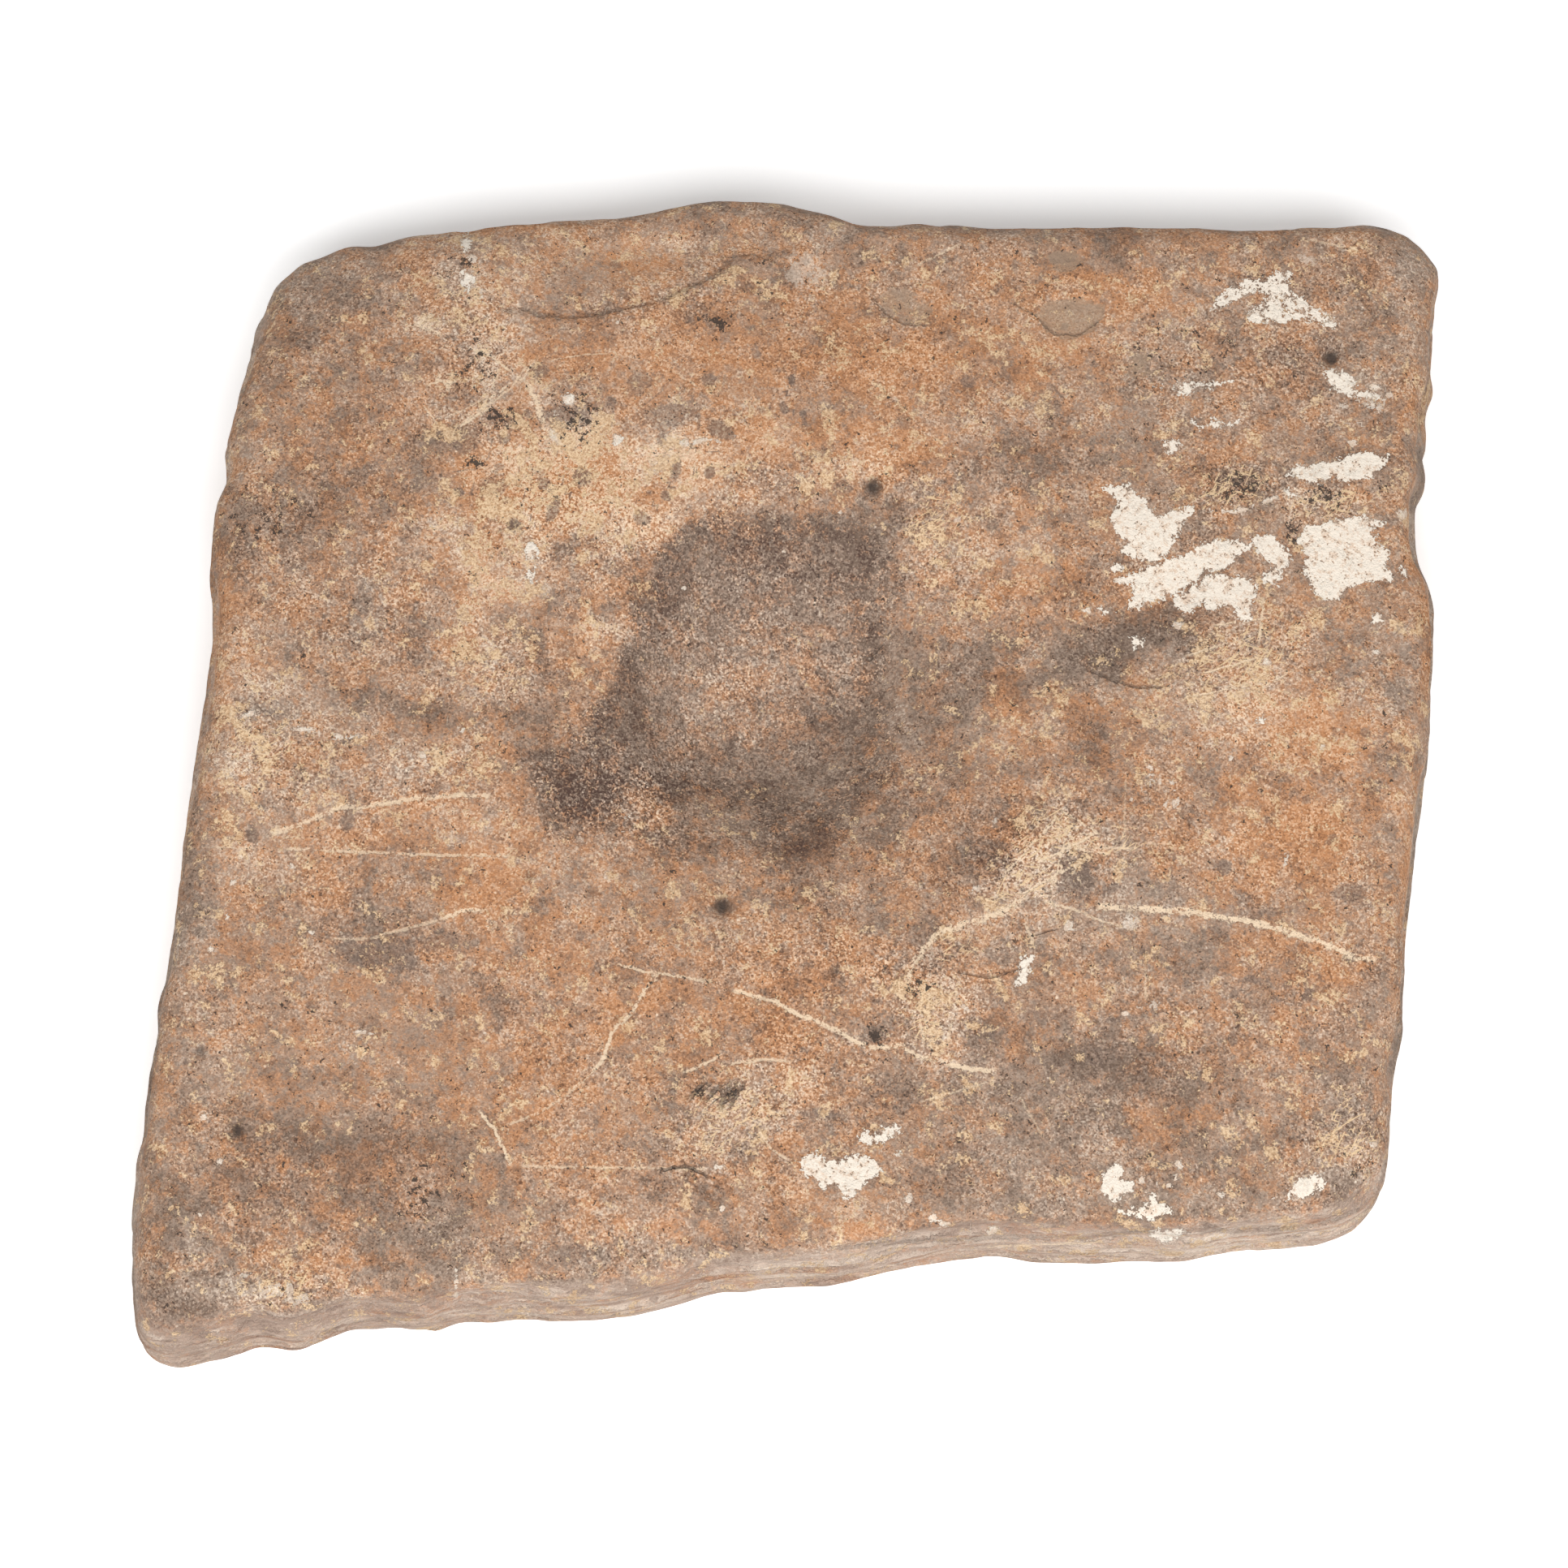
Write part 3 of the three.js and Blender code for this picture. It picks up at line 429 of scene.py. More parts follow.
# Networks of fine cream lines
NETWORK_PATCHES = [
    (1286, 1030, 60, 44, 1.1, 40), (1262, 1085, 56, 26, 1.2, 30), (1350, 1042, 50, 14, 0.8),
    (1535, 812, 90, 50, 0.9, 15), (1520, 600, 62, 32, 1, 5), (1385, 1035, 36, 22, 0.8),
    (1430, 440, 36, 20, 0.5), (1636, 620, 74, 22, 1, 5), (1662, 1400, 56, 56, 0.9), (330, 920, 74, 50, 0.7),
    (526, 397, 30, 14, 1), (1190, 1165, 60, 20, 0.9, 30), (896, 1375, 64, 54, 0.9),
    (690, 600, 90, 60, 0.6, 20), (1150, 640, 50, 70, 0.7), (340, 1585, 80, 34, 0.6),
    (1140, 1260, 50, 60, 0.6), (600, 830, 60, 60, 0.5),
]

# Places where the skin is busier than elsewhere, the first two calmer
BUSY_PATCHES = [
    (450, 1310, 200, 130, -0.25), (760, 330, 120, 50, -0.4), (900, 800, 200, 200, 0.7),
    (760, 970, 130, 90, 0.9, -20), (690, 620, 150, 110, 0.9), (575, 430, 60, 110, 0.8),
    (600, 820, 80, 80, 0.6), (1150, 650, 80, 110, 0.6), (1010, 590, 140, 40, 0.6),
    (1280, 1050, 110, 80, 1.2, 30), (1520, 820, 110, 60, 0.9, 10), (1530, 600, 90, 40, 0.9),
    (1640, 620, 80, 30, 0.8), (1660, 1400, 70, 70, 0.8), (330, 930, 90, 80, 0.7), (896, 1370, 90, 70, 0.7),
    (1140, 1240, 80, 90, 0.9), (340, 1590, 110, 40, 0.8), (1000, 1180, 150, 60, 0.5),
    (1000, 1320, 120, 80, 0.5), (1430, 690, 140, 90, 0.4), (1600, 450, 160, 100, 0.4),
    (820, 360, 100, 40, 0.7), (500, 960, 120, 50, 0.4), (830, 1440, 80, 60, 0.5), (420, 740, 140, 120, 0.5),
    (740, 980, 90, 60, 0.4, -20), (350, 1480, 150, 80, 0.2),
]

# Small black flecks in and beside the crusts
FLECK_PATCHES = [
    (588, 448, 34, 46, 0.65), (615, 515, 30, 24, 1), (585, 570, 26, 18, 0.65), (710, 510, 30, 40, 0.8),
    (575, 330, 40, 40, 0.5), (1529, 599, 40, 26, 0.8), (1629, 613, 40, 20, 0.8), (1593, 654, 16, 30, 1),
    (1702, 597, 16, 14, 0.8), (1130, 1216, 24, 20, 0.9), (1079, 1272, 20, 26, 1), (858, 1343, 12, 12, 1),
    (883, 395, 30, 18, 0.8), (530, 1470, 60, 60, 0.5), (330, 640, 70, 50, 0.5), (1680, 1440, 40, 30, 0.6),
    (900, 1349, 14, 14, 1), (844, 1442, 26, 8, 0.7), (1450, 440, 80, 60, 0.35),
]

# Pale scratches and dark lines, as lines of pixels, each with its half width in millimetres and its strength.
# The dark lines are cracks, and painted shadow at the steps of the flake scars and along the front edge.
SCRATCHES = [
    (0.8, 0.8, [(333, 1027), (359, 1021), (379, 1012), (405, 1001), (422, 995), (451, 995), (477, 989),
        (503, 985), (537, 982), (566, 979), (600, 981)]),
    (0.5, 0.5, [(414, 1157), (460, 1157), (480, 1149), (520, 1140), (545, 1132)]),
    (0.7, 0.9, [(549, 1131), (569, 1123), (594, 1121)]),
    (0.8, 0.9, [(907, 1222), (949, 1232), (985, 1250), (1000, 1256), (1031, 1270), (1063, 1287),
        (1082, 1291), (1111, 1289), (1129, 1301), (1150, 1305), (1180, 1314), (1222, 1320)]),
    (1.0, 1, [(1357, 1118), (1411, 1120), (1460, 1123), (1486, 1128), (1539, 1135), (1584, 1148),
        (1629, 1162), (1664, 1177), (1691, 1183)]),
    (1.1, 0.9, [(1120, 1205), (1126, 1187), (1141, 1166), (1156, 1148), (1180, 1142), (1210, 1133),
        (1240, 1122), (1258, 1108)]),
    (0.6, 0.5, [(1318, 1041), (1396, 1046)]),
    (0.4, 0.35, [(1387, 959), (1385, 1037)]),
    (0.5, 0.7, [(1557, 738), (1551, 790)]),
    (0.4, 0.6, [(1132, 326), (1178, 303)]),
    (0.5, 0.75, [(764, 1189), (790, 1196), (834, 1203), (867, 1208)]),
    (0.6, 0.9, [(801, 1209), (777, 1249), (754, 1272), (742, 1307), (717, 1332)]),
    (0.5, 0.6, [(627, 1385), (668, 1370), (694, 1352), (712, 1338)]),
    (0.6, 0.95, [(593, 1372), (609, 1392), (620, 1414), (627, 1432)]),
    (0.5, 0.55, [(647, 1437), (740, 1439), (865, 1440)]),
    (0.4, 0.7, [(937, 1397), (949, 1415), (967, 1426)]),
    (0.5, 0.6, [(1411, 1196), (1412, 1226)]),
    (0.4, 0.4, [(1258, 1354), (1283, 1398)]),
    (0.4, 0.5, [(1615, 296), (1669, 307)]),
    (0.25, 0.6, [(681, 444), (716, 437), (744, 436)]),
    (0.45, 0.6, [(652, 448), (630, 478), (600, 500), (566, 524)]),
    (0.9, 0.9, [(652, 476), (660, 495), (669, 518)]),
    (0.4, 0.5, [(831, 458), (856, 475)]),
    (0.4, 0.5, [(259, 1044), (310, 1045)]),
    (0.5, 0.65, [(355, 1046), (400, 1048), (514, 1053), (551, 1054), (623, 1054)]),
    (0.5, 0.6, [(1134, 1262), (1138, 1283)]),
    (0.5, 0.6, [(1174, 1259), (1168, 1280)]),
    (0.5, 0.8, [(846, 1320), (864, 1313), (882, 1304)]),
    (0.5, 0.7, [(905, 1310), (938, 1306), (969, 1307)]),
    (0.4, 0.7, [(1219, 1536), (1351, 1531)]),
    (0.4, 0.7, [(1655, 1512), (1689, 1490)]),
]
CROSS_SCRATCHES = [
    (0.4, 0.7, [(1342, 1130), (1375, 1140)]),
    (0.4, 0.5, [(1417, 1040), (1437, 1040)]),
    (0.4, 0.5, [(560, 510), (600, 490)]),
    (0.4, 0.5, [(1230, 1330), (1140, 1356)]),
    (0.5, 0.7, [(1290, 1112), (1335, 1124)]),
    (0.5, 0.7, [(1265, 1140), (1272, 1160)]),
    (0.4, 0.85, [(1240, 1075), (1300, 1010)]),
    (0.4, 0.85, [(1285, 1060), (1345, 1030)]),
    (0.4, 0.85, [(1310, 1000), (1352, 1026)]),
    (0.4, 0.85, [(1262, 1100), (1326, 1066)]),
    (0.4, 0.85, [(1300, 1088), (1312, 1034)]),
    (0.4, 0.85, [(1322, 1046), (1362, 1052)]),
    (0.4, 0.85, [(1330, 1085), (1318, 1062)]),
    (0.35, 0.8, [(1466, 806), (1520, 790)]),
    (0.35, 0.8, [(1480, 830), (1545, 812)]),
    (0.35, 0.8, [(1470, 858), (1530, 846)]),
    (0.35, 0.8, [(1500, 770), (1560, 762)]),
    (0.35, 0.8, [(1550, 850), (1600, 822)]),
    (0.8, 0.85, [(504, 403), (518, 394), (533, 389)]),
    (0.8, 0.85, [(511, 399), (526, 403), (540, 411)]),
    (0.4, 0.8, [(531, 473), (544, 469), (556, 471)]),
    (0.4, 0.8, [(542, 463), (551, 479)]),
    (0.4, 0.8, [(583, 430), (606, 440), (625, 455)]),
    (0.4, 0.8, [(606, 490), (627, 474)]),
    (0.45, 0.85, [(569, 525), (588, 511), (603, 503)]),
    (0.45, 0.85, [(643, 468), (658, 446)]),
    (0.5, 0.8, [(671, 529), (692, 547)]),
    (0.35, 0.7, [(486, 533), (495, 541)]),
    (0.35, 0.7, [(524, 503), (536, 519)]),
    (0.35, 0.8, [(608, 469), (611, 492)]),
]
# Dark lines: cracks, and painted shadow where the face steps down at the flake scars and at the front edge
CRACKS = [
    (0.8, 0.6, [(644, 380), (666, 387), (690, 390), (717, 389), (738, 386), (768, 380), (794, 374),
        (829, 363), (856, 350), (886, 334), (896, 323)]),
    (0.4, 0.6, [(896, 316), (928, 313), (960, 325)]),
    (0.4, 1, [(1186, 1199), (1222, 1205), (1255, 1194)]),
    (0.3, 1, [(1279, 1151), (1300, 1145)]),
    (0.5, 1, [(1347, 827), (1370, 838), (1400, 846), (1428, 846)]),
    (0.5, 1, [(1070, 813), (1082, 800)]),
    (0.8, 1.5, [(851, 1351), (866, 1335)]),
    (0.7, 1.5, [(872, 1353), (886, 1338)]),
    (0.8, 1.5, [(888, 1362), (898, 1337)]),
    (0.7, 1.5, [(901, 1360), (913, 1338)]),
    (0.5, 1.6, [(820, 1441), (845, 1436), (868, 1447)]),
    (0.7, 0.6, [(1025, 1538), (1083, 1533), (1159, 1528), (1250, 1524), (1334, 1525), (1423, 1515),
        (1512, 1518), (1602, 1512), (1646, 1503), (1673, 1490)]),
    (0.4, 0.6, [(760, 1597), (800, 1592)]),
    (0.5, 0.8, [(1487, 1508), (1514, 1518)]),
    (0.5, 0.7, [(1077, 368), (1090, 384), (1110, 398), (1140, 400)]),
    (0.5, 0.7, [(1249, 374), (1275, 388), (1300, 412), (1330, 412), (1352, 396)]),
]

# Pits: middle and radius in pixels, depth in millimetres
PITS = [
    (1076, 600, 13, 2.2), (890, 1116, 14, 2.8), (1640, 441, 12, 2.2), (292, 1393, 10, 2),
    (247, 1295, 8, 1.5), (652, 1078, 7, 1), (728, 1098, 8, 1.2), (1028, 1197, 8, 1.4), (944, 1224, 6, 1),
    (759, 1255, 6, 0.9), (1079, 1272, 14, 1), (1023, 1334, 6, 1), (868, 1203, 6, 0.9), (438, 1134, 6, 0.8),
    (636, 1441, 6, 0.9), (975, 468, 5, 0.8), (1111, 454, 6, 0.8), (633, 645, 8, 0.8), (1070, 1098, 6, 0.8),
    (951, 809, 6, 0.8), (307, 1027, 6, 0.8), (333, 879, 5, 0.8), (1686, 1442, 8, 1), (1078, 806, 9, 0.9),
    (583, 1365, 5, 0.8), (505, 1405, 5, 0.7), (590, 1212, 5, 0.7),
]

# Small white flecks and small grey spots
WHITE_SPOTS = [
    (1692, 500, 12, 7, 0.7, -20), (1714, 487, 6, 4, 0.6), (1655, 500, 6, 4, 0.6),
    (1610, 320, 14, 5, 0.4, -20), (992, 332, 24, 26, 0.35), (345, 1588, 26, 8, 0.6, 10),
    (372, 1601, 14, 6, 0.5, 20), (300, 1570, 10, 6, 0.5), (1339, 752, 6, 4, 1), (1560, 815, 6, 4, 0.9),
    (1696, 803, 5, 4, 0.9), (1728, 633, 7, 6, 0.8), (1667, 545, 6, 4, 0.9), (1522, 629, 14, 3, 0.9, 10),
    (1495, 629, 10, 3, 0.8), (1565, 615, 12, 3, 0.9, 20), (1380, 715, 8, 4, 0.9), (1451, 770, 8, 4, 0.9),
    (307, 879, 9, 4, 0.9, 20), (376, 899, 13, 4, 0.9, -5), (414, 908, 9, 4, 0.8), (435, 908, 8, 3, 0.8),
    (1149, 1501, 5, 5, 1), (1162, 1509, 8, 5, 0.9), (1222, 1515, 9, 5, 1, 30), (1119, 1477, 5, 8, 0.8),
    (1107, 1421, 8, 4, 0.9, 20), (885, 1438, 8, 3, 0.9), (889, 1490, 4, 4, 0.9), (1071, 1494, 4, 4, 0.9),
    (1505, 1472, 5, 4, 0.9), (1455, 1436, 6, 6, 0.9), (1441, 1462, 5, 4, 0.9), (1629, 921, 4, 4, 0.9),
    (1517, 935, 4, 5, 0.9), (1420, 963, 5, 5, 0.8), (1443, 965, 5, 4, 0.8), (1417, 946, 4, 4, 0.8),
    (1452, 986, 4, 4, 0.8), (1584, 1060, 3, 9, 0.8, -10), (1390, 1136, 13, 9, 0.7, 20),
    (1318, 1142, 6, 9, 0.8, 20), (358, 1068, 4, 4, 0.9), (521, 931, 5, 4, 0.9), (569, 899, 5, 4, 0.9),
    (442, 1271, 8, 2.5, 0.8, 5), (460, 1273, 7, 2.5, 0.8), (287, 1087, 4, 4, 0.9), (280, 1129, 4, 4, 0.9),
    (383, 1149, 4, 3, 0.9), (259, 1169, 4, 4, 0.9), (562, 1563, 3, 7, 0.8), (562, 1580, 3, 6, 0.8),
    (562, 1596, 3, 5, 0.8), (773, 1007, 4, 4, 0.8), (760, 1040, 3, 3, 0.8), (1200, 1095, 6, 5, 0.7, 30),
    (271, 1431, 4, 4, 0.9), (251, 1376, 4, 4, 0.9), (246, 1496, 4, 3, 0.9), (581, 320, 8, 5, 0.8),
    (594, 364, 4, 8, 0.6), (762, 395, 4, 4, 0.8), (1695, 477, 6, 4, 0.9), (1407, 1454, 4, 4, 0.9),
    (1569, 1475, 4, 3, 0.9), (1690, 1411, 6, 4, 0.9), (700, 492, 9, 7, 0.9), (761, 541, 6, 6, 1),
    (682, 537, 5, 10, 0.6, 30), (841, 545, 4, 4, 0.9), (855, 546, 8, 3, 0.9, 20),
    (884, 544, 5, 2.5, 0.9, -10), (869, 541, 4, 2.5, 0.7), (1436, 991, 3, 6, 0.7, -30),
    (1226, 1010, 5, 4, 0.6), (1387, 1249, 4, 3, 0.9), (1421, 1238, 10, 6, 0.6, -20),
    (1585, 1054, 4, 5, 0.6, 10), (1190, 1242, 6, 2.5, 0.8, -40), (1034, 631, 4, 3, 0.8, -20),
    (965, 680, 3, 2, 0.8), (985, 714, 4, 2, 0.8), (842, 725, 4, 3, 0.8, 40), (1395, 985, 3, 3, 0.7),
    (1180, 640, 5, 4, 0.5), (919, 519, 6, 5, 0.5), (1450, 991, 4, 3, 0.7),
]
GREY_SPOTS = [
    (1326, 1080, 24, 28, 0.8), (476, 1176, 66, 20, 0.75, -5), (535, 1160, 34, 16, 0.6),
    (428, 1007, 10, 19, 0.7), (309, 1027, 8, 12, 0.8), (665, 457, 12, 11, 0.7), (787, 471, 18, 13, 0.6, 60),
    (871, 468, 11, 8, 0.7), (889, 530, 19, 11, 0.8, -10), (717, 588, 12, 12, 0.8), (670, 596, 8, 7, 0.7),
    (833, 578, 7, 13, 0.8, -10), (874, 582, 8, 7, 0.8), (821, 611, 7, 6, 0.8), (634, 648, 9, 9, 0.9),
    (681, 628, 7, 16, 0.8, -20), (790, 637, 11, 9, 0.7), (621, 540, 9, 7, 0.7), (705, 762, 9, 8, 0.6),
    (565, 606, 7, 6, 0.9), (790, 693, 8, 7, 0.6), (825, 512, 40, 17, 0.5, 5), (575, 542, 20, 20, 0.6),
    (700, 512, 26, 17, 0.6), (1307, 318, 15, 9, 0.7), (1148, 322, 13, 9, 0.6), (1194, 468, 12, 8, 0.7),
    (702, 1545, 24, 12, 0.6), (1011, 1372, 26, 7, 0.6), (976, 468, 5, 8, 0.9), (988, 510, 5, 4, 0.8),
    (966, 503, 5, 9, 0.8, 20), (991, 520, 4, 5, 0.8), (605, 600, 20, 12, 0.5), (624, 617, 6, 5, 0.6),
    (648, 665, 8, 5, 0.4), (650, 510, 6, 5, 0.6), (1509, 1069, 9, 10, 0.9, 30),
    (1495, 1062, 16, 5, 0.5, -10), (1262, 1097, 5, 3, 0.9), (1372, 1094, 10, 5, 0.8, 30),
    (1566, 1124, 14, 8, 0.5), (1660, 1100, 20, 12, 0.6), (1661, 1181, 9, 7, 0.9), (1407, 1173, 6, 5, 0.9),
    (1463, 1213, 5, 5, 0.8), (1543, 1207, 9, 5, 0.7, -20), (1587, 1213, 6, 6, 0.7), (1520, 1225, 5, 6, 0.7),
    (1611, 1226, 6, 9, 0.9, -40), (1519, 1280, 6, 8, 0.8), (1370, 1257, 9, 4, 0.8),
    (1285, 1253, 30, 7, 0.4), (1352, 1300, 28, 12, 0.5), (1550, 1245, 18, 12, 0.4),
    (1315, 1187, 12, 8, 0.4), (1560, 1010, 6, 5, 0.4), (1640, 1035, 10, 5, 0.6, 40),
    (1275, 1113, 14, 9, 0.5), (700, 800, 16, 12, 0.4), (1040, 600, 14, 8, 0.6), (616, 575, 6, 5, 0.6),
    (662, 580, 10, 6, 0.4), (760, 700, 18, 12, 0.35), (815, 540, 5, 8, 0.6), (1010, 560, 14, 9, 0.35),
    (940, 505, 6, 4, 0.5), (915, 480, 30, 16, 0.2), (1115, 520, 10, 8, 0.5),
]

# Flakes split off the face: outline in pixels, depth in millimetres, how grey they are
FLAKES = [
    ([(592, 345), (615, 382), (644, 382), (690, 391), (738, 387), (794, 375), (829, 364), (856, 351),
        (886, 334), (905, 318), (935, 314), (990, 300), (1010, 250), (700, 230), (560, 270)], 1.1, 0),
    ([(1080, 366), (1100, 356), (1130, 358), (1150, 378), (1140, 400), (1110, 400), (1088, 386)], 0.8, 0.6),
    ([(1276, 386), (1292, 372), (1330, 366), (1358, 376), (1362, 390), (1346, 410), (1312, 420),
        (1290, 408)], 0.8, 1),
    ([(1287, 316), (1300, 309), (1326, 310), (1336, 322), (1322, 334), (1300, 333)], 0.4, 0.9),
    ([(1381, 446), (1394, 433), (1414, 438), (1422, 456), (1408, 470), (1388, 466)], 0.3, 0.5),
    ([(1345, 800), (1380, 790), (1430, 800), (1440, 832), (1415, 848), (1380, 842), (1350, 828)], 0.9, 0),
    ([(870, 1526), (905, 1520), (958, 1530), (950, 1548), (900, 1556), (872, 1546)], 1.2, 0),
]

# How many points the outline's curve has between two knots, how far off on either side the points lie
# that give the way into the stone, how often the face's grid is relaxed, and how many points on either
# side smooth its rim
CURVE_SAMPLES = 48
CHORD_REACH = 44 * MM
RELAX_ROUNDS = 1500
RIM_REACH = 14

# Rows of cells over the worn upper edge, down the side and round the foot
ARRIS_ROWS = 8
SIDE_ROWS = 20
FOOT_ROWS = 4

# How much deeper the worn strip gets for what it gains in width, and where a side turns from the hidden
# ones to the front one, by how far its way into the stone points to the back
WEAR_DROP_SHARE = 0.35
FACING = (0.35, 0.75)

# The beds of the sides: how many through the thickness, how far they wander, in radians, and how many
# waves of wandering and of fading there are round the stone
BED_COUNT = 3
BED_SWAY = 1.3
BED_SWAY_WAVES = 5
BED_FADE_WAVES = 7

# Where the look of a side begins on the worn edge, by how upright the surface is, how much sooner it
# begins on the front side, and from where on the photograph doesn't see a hidden side
WALL_BEGINS = 0.85
FRONT_SOONER = 0.3
HIDDEN_BEGINS = 0.92

# Weathering of the face: the depth and wave length of its broad and its fine relief
BROAD_DEPTH = 0.9 * MM
BROAD_WAVE = 60 * MM
FINE_DEPTH = 0.35 * MM
FINE_WAVE = 9 * MM

# Weathering of the sides: length, breadth and height of its beds and of its flakes, how deep each cuts,
# and how far the side stands out before they do
BED_WAVES = np.array([90, 90, 8]) * MM
FLAKE_WAVES = np.array([28, 28, 6]) * MM
BED_CUT = 1.4 * MM
FLAKE_CUT = 1.2 * MM
SIDE_STANDS_OUT = 0.8 * MM

# Pits: their reach in relief and where their painted shade fades, as shares of the radius, and the depth in
# millimetres at which their painted shade is full. Flake scars: how ragged their edge is and where it steps
# down, in millimetres, and the blur of their colour in pixels.
PIT_SPREAD = 1.3
PIT_SHADE = (0.4, 1.15)
PIT_DARK_DEPTH = 2
SCAR_RAGGED = 1.2
SCAR_WAVE = 7 * MM
SCAR_STEP = (-0.8, 1.0)
SCAR_BLUR = 3

# Noise stands in for the marks where the photograph doesn't see the stone: its strengths and wave lengths
UNSEEN_TONE = 5
UNSEEN_TONE_WAVE = 70 * MM
UNSEEN_WARMTH = 0.26
UNSEEN_WARMTH_WAVE = 80 * MM
UNSEEN_CRUST = 0.6
UNSEEN_CRUST_WAVE = 45 * MM

# How much lighter the front side is, how busy the skin is at least, how softly the stain ends at least,
# in millimetres, and how deep lace counts at most and what it loses, in pixels
FRONT_LIGHTER = 4
BUSY_BASE = 0.2
STAIN_SOFTNESS = 2.4
LACE_DEPTH = 4
LACE_LOSS = 1.5

# A seed for each noise, ten apart, because each finer octave takes the next one
SEEDS = {
    "broad relief": 11, "fine relief": 21, "beds": 31, "side flakes": 41, "scar edges": 51,
    "unseen tone": 61, "unseen warmth": 71, "unseen crust": 81,
}

# Wave lengths of the material's noises, and widths of its random cells
MOTTLE_WAVE = 24 * MM
DARK_WAVE = 12 * MM
RUST_WAVE = 10 * MM
STRAW_WAVE = 8 * MM
RAGGED_WAVE = 6 * MM
BED_WAVE = 3.4 * MM
UNEVEN_WAVE = 3 * MM
GRAIN_WAVE = 1.1 * MM
THREAD_WAVE = 0.9 * MM
SPOT_CELL = 10 * MM
HOLE_CELL = 2.6 * MM
SAND_CELL = 0.6 * MM

# How the noises are turned against the stone, in radians, and how thin the beds are for their length
NOISE_TURN = (0.6, 0.4, 0.9)
BED_SLIMNESS = 0.07

# Hatched threads: how many times longer than wide they are, and the directions they lie in, in degrees
THREAD_STRETCH = 9
THREAD_TURNS = (32, 64, -12)

# Where a skin's four colours lie on its way from dark to pale, how rough the bare and the stained stone
# are, and how strongly they shine
SKIN_PLACES = (0, 0.29, 0.58, 1)
BARE_ROUGHNESS = 0.9
STAINED_ROUGHNESS = 0.72
SHINE = 0.3

# The stage: half the floor's width, its colour as it lights the stone and as the camera sees it, how
# bright the world is, and the softbox's length, breadth, power, place and turns in degrees
FLOOR_HALF = 6
FLOOR_LIT = (0.8, 0.8, 0.8, 1)
FLOOR_SEEN = (1.55, 1.55, 1.55, 1)
WORLD_LIGHT = 0.42
LAMP_LENGTH = 2.0
LAMP_BREADTH = 0.8
LAMP_POWER = 35.5
LAMP_PLACE = (0.08, -1.1, 1.75)
LAMP_TURNS = (32, 0, 4)


def fade(reach):
    """1 at the middle of a hollow, and smoothly 0 at its rim: the square of 1 less reach squared."""
    return np.clip(1 - reach * reach, 0, None) ** 2


def smooth(value, low, high):
    """0 below low, 1 above high, and the cubic 3t^2 - 2t^3 between them."""
    t = np.clip((value - low) / (high - low), 0, 1)
    return t * t * (3 - 2 * t)


def noise(points, seed):
    """Smooth random values from about -1 to 1 at points counted in cells.

    Random slopes at the cells' corners are eased into each other by 6t^5 - 15t^4 + 10t^3.
    """
    slope_count = 256
    random = np.random.default_rng(seed)
    slopes = random.normal(size=(slope_count, 3))
    slopes /= np.linalg.norm(slopes, axis=1)[:, None]
    order = random.permutation(slope_count)
    cell = np.floor(points).astype(np.int64)
    within = points - cell
    ease = within ** 3 * (within * (within * 6 - 15) + 10)
    total = np.zeros(len(points))
    for corner in itertools.product((0, 1), repeat=3):
        at = (cell + corner) % slope_count
        row = (order[at[:, 0]] + at[:, 1]) % slope_count
        slope = slopes[order[(order[row] + at[:, 2]) % slope_count]]
        weight = np.prod(np.where(corner, ease, 1 - ease), axis=1)
        total += weight * np.sum(slope * (within - corner), axis=1)
    return total * 1.7


def layered_noise(points, wavelength, octaves, seed, gain=0.5):
    """Noise at a wavelength, which is one length or one along each axis, with finer octaves.

    Each octave is half as long as the one before and gain times as strong.
    """
    total = np.zeros(len(points))
    for octave in range(octaves):
        total += gain ** octave * noise(points / wavelength * 2 ** octave, seed + octave)
    return total


def reach_of(x, y, centre, half_length, half_breadth, degrees):
    """Distance from the middle of a turned ellipse, where 1 is on its rim."""
    angle = math.radians(degrees)
    along = (x - centre[0]) * math.cos(angle) + (y - centre[1]) * math.sin(angle)
    across = (y - centre[1]) * math.cos(angle) - (x - centre[0]) * math.sin(angle)
    return np.hypot(along / half_length, across / half_breadth)


def picture_place(points):
    """Pixels of the photograph's frame at which points show.

    They are the distances right of and above the line of sight, over the distance along it.
    """
    tilt = math.radians(CAMERA_ELEVATION)
    back = np.array([0, -math.cos(tilt), math.sin(tilt)])
    up = np.array([0, math.sin(tilt), math.cos(tilt)])
    seen = points - CAMERA_AIM - CAMERA_DISTANCE * back
    scale = PICTURE * CAMERA_LENS / CAMERA_SENSOR / -(seen @ back)
    return np.stack([PICTURE / 2 + seen[:, 0] * scale, PICTURE / 2 - (seen @ up) * scale], axis=1)


def polygon_depth(places, corners):
    """Distance inside a polygon, negative outside it.

    It is the nearest edge's distance, and counting the edges that a line to the right crosses signs it.
    """
    x, y = places[:, 0], places[:, 1]
    nearest = np.full(len(places), np.inf)
    inside = np.zeros(len(places), bool)
    for (ax, ay), (bx, by) in zip(corners, corners[1:] + corners[:1]):
        along = ((x - ax) * (bx - ax) + (y - ay) * (by - ay)) / ((bx - ax) ** 2 + (by - ay) ** 2)
        along = np.clip(along, 0, 1)
        nearest = np.minimum(nearest, np.hypot(x - ax - along * (bx - ax), y - ay - along * (by - ay)))
        if ay != by:
            crosses = ((ay > y) != (by > y)) & (x < ax + (y - ay) * (bx - ax) / (by - ay))
            inside ^= crosses
    return np.where(inside, nearest, -nearest)


